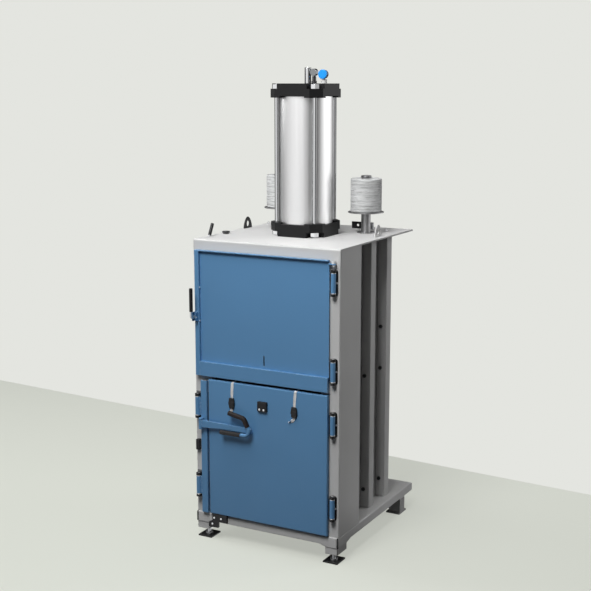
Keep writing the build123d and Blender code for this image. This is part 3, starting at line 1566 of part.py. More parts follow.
# Lock strip: a channel that closes the left side of the lower door, with lugs for its lever
strip_rear = back_front - 1.0
strip_web_depth = lower_front + web_sheet / 2
lock_right = lock_left + lock_width
lock_bottom = lower_door_bottom
lock_top = lower_door_top - 11.0
lock_height = lock_top - lock_bottom
pivot_depth = lower_front - lever_standoff
ear_gap = 1.0
ear_low = lever_height - lever_bar_height / 2 - ear_gap - lever_ear_sheet
ear_high = lever_height + lever_bar_height / 2 + ear_gap
strip_barrels = [
    hinge_barrel(centre, strip_hinge_x, strip_axis_depth, lock_left, strip_web_depth)
    for centre in lower_hinge_centres
]
with BuildPart() as lock_strip:
    with BuildSketch(facing(strip_rear)):
        with Locations((lock_left + lock_width / 2, lock_bottom + lock_height / 2)):
            Rectangle(lock_width, lock_height)
    extrude(amount=strip_rear - lower_front)
    fillet(lock_strip.edges().filter_by(Axis.Z).group_by(Axis.Y)[0], lock_sheet)
    with BuildSketch(facing(strip_rear)):
        with Locations((lock_left + lock_width / 2, lock_bottom + lock_height / 2)):
            Rectangle(lock_width - 2 * lock_sheet, lock_height)
    extrude(amount=strip_rear - lower_front - lock_sheet, mode=Mode.SUBTRACT)
    # two lugs, with the lever's pin between them
    for low in (ear_low, ear_high):
        with BuildSketch(flat(low)):
            with Locations((lever_pivot_x, pivot_depth)):
                Circle(lever_knuckle_radius)
            with Locations((lever_pivot_x, (pivot_depth + lower_front) / 2)):
                Rectangle(2 * lever_knuckle_radius, lower_front - pivot_depth)
        extrude(amount=lever_ear_sheet)
    with BuildSketch(flat(ear_low)):
        with Locations((lever_pivot_x, pivot_depth)):
            Circle(lever_pin_radius)
    extrude(amount=ear_high - ear_low)
    add(strip_barrels)
lock_strip.part.label = "lock_strip"
export_step(lock_strip.part, "parts/lock_strip.step")

# Lock lever: a tapered flat bar on the pin, with a bent tube welded along its end
tube_depth = lower_front - lever_standoff - tube_standoff
bar_end_x = -55.0
bar_rise = 8.0
with BuildPart() as lock_lever:
    with BuildSketch(facing(pivot_depth + lever_bar_sheet / 2)):
        with BuildLine():
            Polyline(
                (lever_pivot_x, lever_height - lever_bar_height / 2),
                (grip_left - 10, lever_height - lever_bar_height / 2 + bar_rise),
                (bar_end_x, lever_height - lever_bar_height / 2 + bar_rise),
                (bar_end_x, lever_height - lever_bar_height / 2 + bar_rise + lever_end_height),
                (lever_pivot_x, lever_height + lever_bar_height / 2),
                close=True,
            )
        make_face()
    extrude(amount=lever_bar_sheet)
    with BuildSketch(flat(lever_height - lever_bar_height / 2)):
        with Locations((lever_pivot_x, pivot_depth)):
            Circle(lever_knuckle_radius)
    extrude(amount=lever_bar_height)
    with BuildLine(facing(tube_depth)) as tube_path:
        FilletPolyline(
            (grip_left, grip_height),
            (tube_corner_x, grip_height),
            (elbow_x, elbow_height),
            (tube_end_x, tube_end_height),
            radius=tube_bend,
        )
    with BuildSketch(Plane(origin=tube_path.line @ 0, z_dir=tube_path.line % 0)):
        Circle(tube_radius)
    sweep()
    with BuildSketch(flat(ear_low)):
        with Locations((lever_pivot_x, pivot_depth)):
            Circle(lever_pin_radius + running_gap)
    extrude(amount=ear_high - ear_low, mode=Mode.SUBTRACT)
lock_lever.part.label = "lock_lever"
export_step(lock_lever.part, "parts/lock_lever.step")

# Grip along the tube's lower run, and the sleeve round its upper bend
with BuildPart() as lever_grip:
    with BuildSketch(side_on(grip_left)):
        with Locations((tube_depth, grip_height)):
            Circle(tube_radius + grip_wall)
            Circle(tube_radius + running_gap, mode=Mode.SUBTRACT)
    extrude(amount=grip_right - grip_left)
lever_grip.part.label = "lever_grip"
export_step(lever_grip.part, "parts/lever_grip.step")

sleeve_start = 0.47
sleeve_run = (elbow_x - tube_corner_x, elbow_height - grip_height)
sleeve_low = (tube_corner_x + (1 - sleeve_start) * sleeve_run[0], grip_height + (1 - sleeve_start) * sleeve_run[1])
with BuildPart() as lever_sleeve:
    with BuildLine(facing(tube_depth)) as sleeve_path:
        FilletPolyline(
            sleeve_low,
            (elbow_x, elbow_height),
            (tube_end_x, tube_end_height),
            radius=tube_bend,
        )
    with BuildSketch(Plane(origin=sleeve_path.line @ 0, z_dir=sleeve_path.line % 0)):
        Circle(tube_radius + sleeve_wall)
        Circle(tube_radius + running_gap, mode=Mode.SUBTRACT)
    sweep()
lever_sleeve.part.label = "lever_sleeve"
export_step(lever_sleeve.part, "parts/lever_sleeve.step")
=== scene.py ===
import bpy
import numpy as np
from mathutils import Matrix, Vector


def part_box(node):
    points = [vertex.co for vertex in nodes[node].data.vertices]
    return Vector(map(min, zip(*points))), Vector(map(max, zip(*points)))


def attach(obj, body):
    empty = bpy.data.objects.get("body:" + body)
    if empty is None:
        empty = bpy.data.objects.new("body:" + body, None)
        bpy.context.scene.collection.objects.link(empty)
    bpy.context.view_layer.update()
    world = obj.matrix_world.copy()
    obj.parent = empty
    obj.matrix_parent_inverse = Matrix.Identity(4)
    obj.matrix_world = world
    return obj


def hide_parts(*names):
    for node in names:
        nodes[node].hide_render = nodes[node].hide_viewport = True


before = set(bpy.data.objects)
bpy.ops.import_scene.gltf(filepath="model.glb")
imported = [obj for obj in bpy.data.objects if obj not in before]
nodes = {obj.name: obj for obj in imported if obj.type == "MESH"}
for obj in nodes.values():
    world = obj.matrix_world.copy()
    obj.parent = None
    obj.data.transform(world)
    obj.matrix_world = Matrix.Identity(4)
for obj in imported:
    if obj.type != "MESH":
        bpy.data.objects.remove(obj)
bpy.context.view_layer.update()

# The studio: a pale floor that ends at a straight edge in front of a pale wall.
# Wide lamps hang over the front, left and rear. What gloss shows of the room is lit unevenly all round.
white = (1, 1, 1, 1)
wall_colour = (0.775, 0.783, 0.745, 1)
wall_light = 0.02
floor_colour = (0.722, 0.745, 0.677, 1)
floor_dull = (0.05, 0.05, 0.049, 1)
floor_glow = 0.60
floor_corners = ((-14, 2.362, 0), (-14, -14, 0), (14, -14, 0), (14, 0.150, 0))
# The room's brightness: a share of the turn round the machine, from its rear by its left side, and the level.
room_stops = (
    (0.00, 0.04), (0.20, 0.08), (0.28, 0.26), (0.36, 0.72), (0.43, 0.92), (0.54, 0.78), (0.60, 0.34),
    (0.64, 0.07), (0.73, 0.07), (0.79, 0.85), (0.83, 1.20), (0.92, 1.20), (0.97, 0.40), (1.00, 0.04))
# Lamps: name, place, target, width in metres and power in watts.
lamps = (
    ("overhead", (0.0, -0.3, 5.2), (0.0, 0.0, 1.4), 3.0, 41),
    ("top_front", (-0.3, -1.7, 3.7), (0.0, -0.4, 1.2), 1.4, 8),
    ("roof_front", (-0.2, -1.3, 4.6), (0.0, 0.0, 1.5), 1.2, 14),
    ("front_high", (0.3, -3.6, 5.0), (0.0, 0.0, 1.3), 2.2, 182),
    ("left", (-4.4, -0.6, 3.6), (0.0, 0.0, 1.2), 2.4, 81),
    ("rear_right", (3.4, 2.6, 3.4), (0.0, 0.0, 1.2), 2.0, 42),
)
camera_place = (2.776, -5.2395, 2.330)
camera_forward = (-0.46780, 0.86530, -0.18007)
camera_lens = 70.573
camera_sensor = 36


def node(tree, kind, inputs=None, **settings):
    """Adds one shader node. Each input is a plain value or the socket that feeds it."""
    made = tree.nodes.new("ShaderNode" + kind)
    for label, value in settings.items():
        setattr(made, label, value)
    for label, value in (inputs or {}).items():
        if isinstance(value, bpy.types.NodeSocket):
            tree.links.new(value, made.inputs[label])
        else:
            made.inputs[label].default_value = value
    return made


def calc(tree, operation, first, second=0, use_clamp=False):
    """The result of one operation on two values or sockets. Clamped, it stays from 0 to 1."""
    return node(tree, "Math", {0: first, 1: second}, operation=operation, use_clamp=use_clamp).outputs[0]


def remap(tree, value, source, target, **settings):
    """A value carried in proportion from a source range to a target range, and held at both ends."""
    return node(tree, "MapRange", dict(enumerate((value, *source, *target))), **settings).outputs[0]


def room_level(tree):
    """How bright the room is in a direction: a ramp over its angle round the machine, from the rear."""
    parts = node(tree, "SeparateXYZ", {0: node(tree, "TexCoord").outputs["Object"]}).outputs
    turn = calc(tree, "ARCTAN2", parts["X"], calc(tree, "MULTIPLY", parts["Y"], -1))
    ramp = node(tree, "ValToRGB", {0: remap(tree, turn, (-np.pi, np.pi), (0, 1))})
    stops = ramp.color_ramp.elements
    for place, _ in room_stops[1:-1]:
        stops.new(place)
    for stop, (place, level) in zip(stops, room_stops):
        stop.position = place
        stop.color = (level, level, level, 1)
    return ramp.outputs[0]


def aim(thing, place, target):
    """Brings a lamp or the camera into the scene at a place, turned towards a target."""
    thing.location = place
    thing.rotation_euler = (Vector(target) - Vector(place)).to_track_quat("-Z", "Y").to_euler()
    bpy.context.scene.collection.objects.link(thing)


world = bpy.data.worlds.new("studio")
bpy.context.scene.world = world
world.use_nodes = True
tree = world.node_tree
tree.nodes.clear()
ray = node(tree, "LightPath").outputs
mirrored = calc(tree, "MAXIMUM", ray["Is Glossy Ray"], ray["Is Transmission Ray"])
fill = node(tree, "Background", {"Color": white, "Strength": wall_light}).outputs[0]
wall = node(tree, "Background", {"Color": wall_colour, "Strength": 1}).outputs[0]
room = node(tree, "Background", {"Color": white, "Strength": room_level(tree)}).outputs[0]
seen = node(tree, "MixShader", {0: ray["Is Camera Ray"], 1: fill, 2: wall}).outputs[0]
both = node(tree, "MixShader", {0: mirrored, 1: seen, 2: room}).outputs[0]
node(tree, "OutputWorld", {"Surface": both})

floor_mesh = bpy.data.meshes.new("floor")
floor_mesh.from_pydata(floor_corners, [], [(0, 1, 2, 3)])
floor = bpy.data.objects.new("floor", floor_mesh)
bpy.context.scene.collection.objects.link(floor)
floor_paint = bpy.data.materials.new("floor_paint")
floor_paint.use_nodes = True
tree = floor_paint.node_tree
tree.nodes.clear()
ray = node(tree, "LightPath").outputs
pale = node(tree, "BsdfDiffuse", {"Color": floor_colour}).outputs[0]
glow = node(tree, "Emission", {"Color": floor_colour, "Strength": 1}).outputs[0]
look = node(tree, "MixShader", {0: floor_glow, 1: pale, 2: glow}).outputs[0]
dull = node(tree, "BsdfDiffuse", {"Color": floor_dull}).outputs[0]
seen = node(tree, "MixShader", {0: ray["Is Camera Ray"], 1: dull, 2: look}).outputs[0]
room = node(tree, "Emission", {"Color": white, "Strength": room_level(tree)}).outputs[0]
both = node(tree, "MixShader", {0: ray["Is Glossy Ray"], 1: seen, 2: room}).outputs[0]
node(tree, "OutputMaterial", {"Surface": both})
floor_mesh.materials.append(floor_paint)

for lamp_name, place, target, width, power in lamps:
    lamp = bpy.data.lights.new(lamp_name, "AREA")
    lamp.shape = "DISK"
    lamp.size = width
    lamp.energy = power
    aim(bpy.data.objects.new(lamp_name, lamp), place, target)

camera_data = bpy.data.cameras.new("view")
camera_data.lens = camera_lens
camera_data.sensor_width = camera_sensor
camera = bpy.data.objects.new("view", camera_data)
aim(camera, camera_place, Vector(camera_place) + Vector(camera_forward))
bpy.context.scene.camera = camera
bpy.context.scene.view_settings.view_transform = "Standard"

# Folded and welded cabinet: side and rear walls, front columns and roof plate.
# Steel sheet sprayed light grey with a satin skin, thinned a little along its edges.
light_grey = (0.66, 0.66, 0.655, 1)
primer_grey = (0.42, 0.42, 0.42, 1)
noise_span = (0.3, 0.7)
mottle = (0.975, 1.02)
smear_shift = (-0.05, 0.07)
edge_turn = (0.999, 0.90)
chip_span = (0.42, 0.68)
weld_distance = 0.00001
crease = 0.6


def effect(name, inputs):
    """A node group with named inputs, whose outputs are the colour, roughness and normal that a finish takes.
    The kinds of its inputs are Float, Color and Vector."""
    group = bpy.data.node_groups.new(name, "ShaderNodeTree")
    outputs = {"Colour": "Color", "Roughness": "Float", "Normal": "Vector"}
    for way, sockets in (("INPUT", inputs), ("OUTPUT", outputs)):
        for label, kind in sockets.items():
            group.interface.new_socket(label, in_out=way, socket_type="NodeSocket" + kind)
    return group, group.nodes.new("NodeGroupInput").outputs, group.nodes.new("NodeGroupOutput").inputs


def feed(group, result, colour, roughness, normal):
    """Feeds the three outputs of an effect."""
    for label, socket in (("Colour", colour), ("Roughness", roughness), ("Normal", normal)):
        group.links.new(socket, result[label])
    return group


def scaled(tree, colour, share):
    """A colour times a number."""
    return node(tree, "VectorMath", {0: colour, "Scale": share}, operation="SCALE").outputs[0]


def sprayed_skin():
    """Sprayed paint: a soft mottle in its colour, the fine waves of its surface and wear along its edges. An
    edge is where a rounded normal turns away from the face's own, and it wears where a fine noise is high.
    With a pale undercoat the same edge mark is a painted highlight."""
    group, given, result = effect("sprayed_skin", {
        "Paint": "Color", "UnderAndEdgeLight": "Color", "Sheen": "Float",
        "Peel": "Float", "WearAndEdgeLight": "Float", "Round": "Float"})
    place = node(group, "TexCoord").outputs["Object"]
    cloud = node(group, "TexNoise", {"Vector": place, "Scale": 2.3, "Detail": 3}).outputs[0]
    mottled = scaled(group, given["Paint"], remap(group, cloud, noise_span, mottle))
    rounded = node(group, "Bevel", {"Radius": given["Round"]}, samples=4).outputs[0]
    flat = node(group, "NewGeometry").outputs["Normal"]
    turn = node(group, "VectorMath", {0: rounded, 1: flat}, operation="DOT_PRODUCT").outputs["Value"]
    chips = node(group, "TexNoise", {"Vector": place, "Scale": 70, "Detail": 5, "Roughness": 0.7}).outputs[0]
    edge = remap(group, turn, edge_turn, (0, 1))
    chip = remap(group, chips, chip_span, (0, 1))
    worn_and_lit_edge = calc(group, "MULTIPLY", calc(group, "MULTIPLY", edge, chip), given["WearAndEdgeLight"], use_clamp=True)
    colour = node(group, "Mix", {0: worn_and_lit_edge, 6: mottled, 7: given["UnderAndEdgeLight"]}, data_type="RGBA").outputs[2]
    smear = node(group, "TexNoise", {"Vector": place, "Scale": 11, "Detail": 6, "Roughness": 0.65}).outputs[0]
    rough = calc(group, "ADD", given["Sheen"], remap(group, smear, noise_span, smear_shift))
    skin = node(group, "TexNoise", {"Vector": place, "Scale": 240, "Detail": 2, "Roughness": 0.45}).outputs[0]
    waves = node(group, "Bump", {"Strength": given["Peel"], "Distance": 0.0006, "Height": skin,
                                 "Normal": rounded})
    return feed(group, result, colour, rough, waves.outputs[0])


def finish(name, group, given, shader=None):
    """A material: an effect's colour, roughness and normal feed a Principled shader, and the shader's other
    values are plain."""
    material = bpy.data.materials.new(name)
    material.use_nodes = True
    tree = material.node_tree
    surface = tree.nodes["Principled BSDF"]
    skin = node(tree, "Group", given, node_tree=group)
    tree.links.new(skin.outputs["Colour"], surface.inputs["Base Color"])
    tree.links.new(skin.outputs["Roughness"], surface.inputs["Roughness"])
    tree.links.new(skin.outputs["Normal"], surface.inputs["Normal"])
    for label, value in (shader or {}).items():
        surface.inputs[label].default_value = value
    return material


def smoother():
    """A modifier that joins a solid's loose triangles, and shades soft what bends by less than the crease."""
    group = bpy.data.node_groups.new("smooth_rounds", "GeometryNodeTree")
    group.interface.new_socket("Geometry", in_out="INPUT", socket_type="NodeSocketGeometry")
    group.interface.new_socket("Geometry", in_out="OUTPUT", socket_type="NodeSocketGeometry")
    start = group.nodes.new("NodeGroupInput")
    end = group.nodes.new("NodeGroupOutput")
    join = group.nodes.new("GeometryNodeMergeByDistance")
    join.inputs["Distance"].default_value = weld_distance
    bend = group.nodes.new("GeometryNodeInputMeshEdgeAngle")
    gentle = group.nodes.new("FunctionNodeCompare")
    gentle.data_type = "FLOAT"
    gentle.operation = "LESS_THAN"
    gentle.inputs[1].default_value = crease
    faces = group.nodes.new("GeometryNodeSetShadeSmooth")
    faces.domain = "FACE"
    edges = group.nodes.new("GeometryNodeSetShadeSmooth")
    edges.domain = "EDGE"
    group.links.new(start.outputs[0], join.inputs["Geometry"])
    group.links.new(join.outputs["Geometry"], faces.inputs["Geometry"])
    group.links.new(faces.outputs["Geometry"], edges.inputs["Geometry"])
    group.links.new(bend.outputs["Unsigned Angle"], gentle.inputs[0])
    group.links.new(gentle.outputs[0], edges.inputs["Shade Smooth"])
    group.links.new(edges.outputs["Geometry"], end.inputs[0])
    return group


def dress(names, material):
    """Gives solids their material, and soft shading on their rounds."""
    for name in names:
        piece = nodes[name]
        piece.data.materials.clear()
        piece.data.materials.append(material)
        piece.modifiers.new("smooth_rounds", "NODES").node_group = soft_rounds


soft_rounds = smoother()
spray = sprayed_skin()
grey_coat = {
    "Paint": light_grey, "UnderAndEdgeLight": primer_grey,
    "Sheen": 0.46, "Peel": 0.10, "WearAndEdgeLight": 0.25, "Round": 0.0022}
grey_paint = finish("light_grey_paint", spray, grey_coat, {"Specular IOR Level": 0.3})
dress(["side_frame_left", "side_frame_right", "rear_frame",
       "front_column_left", "front_column_right", "top_plate"], grey_paint)

# Levelling feet under the two front stubs: black painted plates, each with a plated hub and stud.
# Each is locked by a zinc plated nut.
black = (0.013, 0.013, 0.014, 1)
black_rubbed = (0.16, 0.16, 0.165, 1)
foot_plate_top = 0.0083
polish_shift = (-0.05, 0.05)


def past(tree, axis, border):
    """A mask that is 1 where the object's own coordinate on an axis lies past a border, in metres."""
    place = node(tree, "SeparateXYZ", {0: node(tree, "TexCoord").outputs["Object"]}).outputs[axis]
    return calc(tree, "GREATER_THAN", place, border)


def join_finish(material, group, given, mask, metallic=None):
    """Adds a second finish where a mask is 1: another effect's colour, roughness and normal. Where the two
    finishes differ in it, metallic is the metal share of the first and of the second."""
    tree = material.node_tree
    surface = tree.nodes["Principled BSDF"]
    skin = node(tree, "Group", given, node_tree=group)
    for label, socket, kind, first, second, mixed in (("Colour", "Base Color", "RGBA", 6, 7, 2),
                                                      ("Normal", "Normal", "VECTOR", 4, 5, 1),
                                                      ("Roughness", "Roughness", "FLOAT", 2, 3, 0)):
        before = surface.inputs[socket].links[0].from_socket
        mix = node(tree, "Mix", {0: mask, first: before, second: skin.outputs[label]}, data_type=kind)
        tree.links.new(mix.outputs[mixed], surface.inputs[socket])
    if metallic:
        tree.links.new(remap(tree, mask, (0, 1), metallic), surface.inputs["Metallic"])


def blotched(tree, colour, noise, amount):
    """A colour times 1 plus an amount of a noise that is counted from its middle."""
    drift = calc(tree, "MULTIPLY", calc(tree, "SUBTRACT", noise, 0.5), amount)
    return scaled(tree, colour, calc(tree, "ADD", drift, 1))


def grained_metal():
    """Bare or plated metal: drawn grain along one axis, faint blotches in its colour and an uneven polish."""
    group, given, result = effect("grained_metal", {
        "Metal": "Color", "Polish": "Float", "Grain": "Float", "Stretch": "Vector", "Blotch": "Float"})
    place = node(group, "TexCoord").outputs["Object"]
    drawn = node(group, "VectorMath", {0: place, 1: given["Stretch"]}, operation="MULTIPLY").outputs[0]
    lines = node(group, "TexNoise", {"Vector": drawn, "Scale": 1, "Detail": 4, "Roughness": 0.6}).outputs[0]
    spots = node(group, "TexNoise", {"Vector": place, "Scale": 34, "Detail": 4, "Roughness": 0.6}).outputs[0]
    colour = blotched(group, given["Metal"], spots, given["Blotch"])
    polish = remap(group, lines, noise_span, polish_shift)
    rough = calc(group, "ADD", given["Polish"], polish, use_clamp=True)
    rounded = node(group, "Bevel", {"Radius": 0.0012}, samples=4).outputs[0]
    ridge = node(group, "Bump", {"Strength": given["Grain"], "Distance": 0.0003, "Height": lines,
                                 "Normal": rounded})
    return feed(group, result, colour, rough, ridge.outputs[0])


grain = grained_metal()
black_coat = {
    "Paint": black, "UnderAndEdgeLight": black_rubbed,
    "Sheen": 0.42, "Peel": 0.16, "WearAndEdgeLight": 0.6, "Round": 0.002}
black_paint = finish("black_foot_paint", spray, black_coat, {"Specular IOR Level": 0.3})
foot_finish = black_paint.copy()
plated = {
    "Metal": (0.62, 0.63, 0.64, 1), "Polish": 0.4,
    "Grain": 0.08, "Stretch": (200, 200, 200), "Blotch": 0.2}
join_finish(foot_finish, grain, plated, past(foot_finish.node_tree, "Z", foot_plate_top), metallic=(0, 0.9))
dress(["levelling_feet"], foot_finish)
zinc = finish(
    "zinc_plate", grain,
    {"Metal": (0.78, 0.79, 0.80, 1), "Polish": 0.34,
     "Grain": 0.12, "Stretch": (300, 300, 300), "Blotch": 0.25},
    {"Metallic": 1})
dress(["foot_nuts"], zinc)

# Screws, bolts, hinge pins and washers: zinc plated steel, screwed or pressed in.
# The bolts in the side posts, behind the doors and below the roof, are blacked.
door_line = -0.30
roof_line = 1.50
dress(["upper_door_fasteners", "lower_door_fasteners", "hinge_pins", "strip_hinge_pins", "ram_fasteners"],
      zinc)
body_zinc = zinc.copy()
tree = body_zinc.node_tree
in_posts = calc(tree, "SUBTRACT", past(tree, "Y", door_line), past(tree, "Z", roof_line), use_clamp=True)
blacked = {
    "Paint": (0.02, 0.02, 0.022, 1), "UnderAndEdgeLight": (0.3, 0.3, 0.3, 1),
    "Sheen": 0.3, "Peel": 0.1, "WearAndEdgeLight": 1.0, "Round": 0.002}
join_finish(body_zinc, spray, blacked, in_posts, metallic=(1, 0))
dress(["body_fasteners"], body_zinc)

# The base tray, folded and welded with its legs: painted in the same grey, with a painted highlight along its
# edges, a paler grey where they round over. Its front corners are open seams between folded plates, with
# painted shade inside. Its two rear legs are a darker grey, a painted shade where the deck shades them.
seam_side = 0.4030
seam_front = -0.4212
leg_top = 0.0850
leg_front = 0.2500
# Painted highlight: a pale grey along the base's rounded edges, laid on by the edge mark of the paint.
base_coat_edge_highlight = {
    "Paint": light_grey, "UnderAndEdgeLight": (0.88, 0.88, 0.87, 1),
    "Sheen": 0.46, "Peel": 0.10, "WearAndEdgeLight": 1.2, "Round": 0.0040}
# Painted shade: the two rear legs are a darker grey, where the deck shades them.
rear_leg_painted_shade = {
    "Paint": (0.26, 0.26, 0.255, 1), "UnderAndEdgeLight": primer_grey,
    "Sheen": 0.5, "Peel": 0.1, "WearAndEdgeLight": 0.3, "Round": 0.002}
# Painted shade: near black in the open front corner seams, a gap too shallow to hold its own shade.
seam_painted_shade = {
    "Paint": (0.01, 0.01, 0.01, 1), "UnderAndEdgeLight": (0.02, 0.02, 0.02, 1),
    "Sheen": 0.7, "Peel": 0.1, "WearAndEdgeLight": 0.1, "Round": 0.001}
base_paint = finish("base_paint", spray, base_coat_edge_highlight, {"Specular IOR Level": 0.3})
tree = base_paint.node_tree
parts = node(tree, "SeparateXYZ", {0: node(tree, "TexCoord").outputs["Object"]}).outputs
at_side = calc(tree, "GREATER_THAN", calc(tree, "ABSOLUTE", parts["X"]), seam_side)
in_front = calc(tree, "LESS_THAN", parts["Y"], seam_front)
below = calc(tree, "LESS_THAN", parts["Z"], leg_top)
behind = calc(tree, "GREATER_THAN", parts["Y"], leg_front)
join_finish(base_paint, spray, rear_leg_painted_shade, calc(tree, "MULTIPLY", below, behind))
join_finish(base_paint, spray, seam_painted_shade, calc(tree, "MULTIPLY", at_side, in_front))
dress(["base_frame"], base_paint)

# Inside the chamber: the ribbed press plate and the pans behind the doors, in plain dark steel.
# Mill finish that is scuffed by what is pressed.
dark_steel = finish(
    "dark_steel", grain,
    {"Metal": (0.17, 0.175, 0.18, 1), "Polish": 0.52,
     "Grain": 0.3, "Stretch": (40, 40, 6), "Blotch": 0.5},
    {"Metallic": 0.7})
dress(["platen", "upper_door_liner", "lower_door_back"], dark_steel)

# Air cylinder on the roof: a drawn aluminium barrel between two black anodised caps, held by four tie rods.
# The piston, its rod, rubber seals and bronze bush are inside. A chromed tube is screwed into the top cap.
# Painted shade on the flanks of the tie rods and tube: the facings between which their colour dims, and to
# what share.
rod_facing = (0.06, 0.45)
rod_flank_shade = 0.10
tube_facing = (0.08, 0.42)
tube_flank_shade = 0.05
rub_noise = (0.35, 0.65)
rub_shift = (0.06, -0.08)
barrel_alloy = finish(
    "drawn_barrel", grain,
    {"Metal": (0.90, 0.90, 0.90, 1), "Polish": 0.34,
     "Grain": 0.01, "Stretch": (160, 160, 1.2), "Blotch": 0.02},
    {"Metallic": 1})
dress(["cylinder_barrel", "piston"], barrel_alloy)
cap_alloy = finish(
    "black_anodised_cap", grain,
    {"Metal": (0.012, 0.012, 0.0125, 1), "Polish": 0.5,
     "Grain": 0.12, "Stretch": (500, 500, 500), "Blotch": 0.3},
    {"Specular IOR Level": 0.2})
dress(["cylinder_bottom_cap", "cylinder_top_cap"], cap_alloy)
bright_zinc = finish(
    "bright_zinc", grain,
    {"Metal": (0.86, 0.87, 0.88, 1), "Polish": 0.08,
     "Grain": 0.004, "Stretch": (260, 260, 260), "Blotch": 0.06},
    {"Metallic": 1})
dress(["tie_rod_nuts"], bright_zinc)


def painted_flank_shade(material, facing, dim):
    """Painted dark reflection on a polished round bar: between two facings, its metal colour dims to a share
    as the surface turns away from the eye."""
    tree = material.node_tree
    surface = tree.nodes["Principled BSDF"]
    turned = node(tree, "LayerWeight", {"Blend": 0.5}).outputs["Facing"]
    light = remap(tree, turned, facing, (1, dim), interpolation_type="SMOOTHSTEP")
    colour = surface.inputs["Base Color"].links[0].from_socket
    tree.links.new(scaled(tree, colour, light), surface.inputs["Base Color"])
    return material


rod_steel = painted_flank_shade(bright_zinc.copy(), rod_facing, rod_flank_shade)
dress(["tie_rods"], rod_steel)
chrome = finish(
    "hard_chrome", grain,
    {"Metal": (0.86, 0.87, 0.88, 1), "Polish": 0.12,
     "Grain": 0.008, "Stretch": (300, 300, 300), "Blotch": 0.05},
    {"Metallic": 1})
dress(["piston_rod"], chrome)
tube_chrome = painted_flank_shade(chrome.copy(), tube_facing, tube_flank_shade)
dress(["exhaust_tube"], tube_chrome)
bronze = finish(
    "turned_bronze", grain,
    {"Metal": (0.62, 0.44, 0.20, 1), "Polish": 0.33,
     "Grain": 0.2, "Stretch": (30, 30, 900), "Blotch": 0.25},
    {"Metallic": 1})
dress(["ram_bush"], bronze)


def moulded_skin():
    """Moulded plastic or rubber: a fine pebbled skin, a slow drift in its colour and rubbed, smooth spots."""
    group, given, result = effect("moulded_skin", {
        "Tint": "Color", "Matt": "Float", "Pebble": "Float", "Drift": "Float"})
    place = node(group, "TexCoord").outputs["Object"]
    slow = node(group, "TexNoise", {"Vector": place, "Scale": 26, "Detail": 4, "Roughness": 0.6}).outputs[0]
    colour = blotched(group, given["Tint"], slow, given["Drift"])
    rough = calc(group, "ADD", given["Matt"], remap(group, slow, rub_noise, rub_shift), use_clamp=True)
    pits = node(group, "TexVoronoi", {"Vector": place, "Scale": 900}).outputs["Distance"]
    rounded = node(group, "Bevel", {"Radius": 0.0010}, samples=4).outputs[0]
    skin = node(group, "Bump", {"Strength": given["Pebble"], "Distance": 0.0003, "Height": pits,
                                "Normal": rounded})
    return feed(group, result, colour, rough, skin.outputs[0])


moulded = moulded_skin()
seal_rubber = finish(
    "seal_rubber", moulded, {"Tint": (0.02, 0.02, 0.02, 1), "Matt": 0.62, "Pebble": 0.1, "Drift": 0.3})
dress(["cylinder_seals", "piston_seals"], seal_rubber)

# Fittings on the top cap: a turned drum on a dark ribbed neck, and a valve with a pale stem and a dark drum.
# The blue disc that faces front is glossy moulded plastic, and turns the valve.
neck_top = 2.3655
stem_top = 2.352
fitting_finish = finish(
    "fitting_neck", grain,
    {"Metal": (0.10, 0.10, 0.105, 1), "Polish": 0.32,
     "Grain": 0.05, "Stretch": (200, 200, 200), "Blotch": 0.2},
    {"Metallic": 1})
drum = {
    "Metal": (0.30, 0.31, 0.32, 1), "Polish": 0.12,
    "Grain": 0.02, "Stretch": (300, 300, 300), "Blotch": 0.3}
join_finish(fitting_finish, grain, drum, past(fitting_finish.node_tree, "Z", neck_top))
dress(["air_fitting"], fitting_finish)
valve_finish = finish(
    "valve_stem", moulded, {"Tint": (0.72, 0.72, 0.71, 1), "Matt": 0.34, "Pebble": 0.05, "Drift": 0.1},
    {"Specular IOR Level": 0.2})
valve_drum = {"Tint": (0.008, 0.008, 0.009, 1), "Matt": 0.4, "Pebble": 0.1, "Drift": 0.3}
join_finish(valve_finish, moulded, valve_drum, past(valve_finish.node_tree, "Z", stem_top))
dress(["valve_body"], valve_finish)
blue_plastic = finish(
    "blue_disc_plastic", moulded,
    {"Tint": (0.020, 0.360, 0.98, 1), "Matt": 0.3, "Pebble": 0.03, "Drift": 0.1},
    {"Specular IOR Level": 0.3})
dress(["valve_knob"], blue_plastic)

# Twine posts on the roof: a turned steel tube with a disc, and a small plate guide beside each.
# A dark cap on the spindle keeps the roll on. The left guide is bare metal. The right one's outer end is a
# painted highlight in a bare metal colour, where it faces the light from the right.
guide_highlight_from = 0.256
turned_steel = finish(
    "turned_steel", grain,
    {"Metal": (0.34, 0.34, 0.345, 1), "Polish": 0.46,
     "Grain": 0.03, "Stretch": (30, 30, 500), "Blotch": 0.2},
    {"Metallic": 1})
dress(["spool_post_left", "spool_post_right"], turned_steel)
cap_steel = finish(
    "dark_cap", grain,
    {"Metal": (0.24, 0.24, 0.245, 1), "Polish": 0.34,
     "Grain": 0.06, "Stretch": (30, 30, 500), "Blotch": 0.2},
    {"Metallic": 1})
dress(["spool_caps"], cap_steel)
guide_finish = black_paint.copy()
tree = guide_finish.node_tree
left_guide = calc(tree, "SUBTRACT", 1, past(tree, "X", 0))
# Painted highlight: the right guide's outer end takes a lit bare metal colour; the left guide is bare metal.
bare_and_highlight = calc(tree, "MAXIMUM", past(tree, "X", guide_highlight_from), left_guide)
bare_metal_and_highlight = {
    "Metal": (0.66, 0.67, 0.68, 1), "Polish": 0.34,
    "Grain": 0.08, "Stretch": (200, 200, 200), "Blotch": 0.2}
join_finish(guide_finish, grain, bare_metal_and_highlight, bare_and_highlight, metallic=(0, 1))
dress(["twine_guides"], guide_finish)

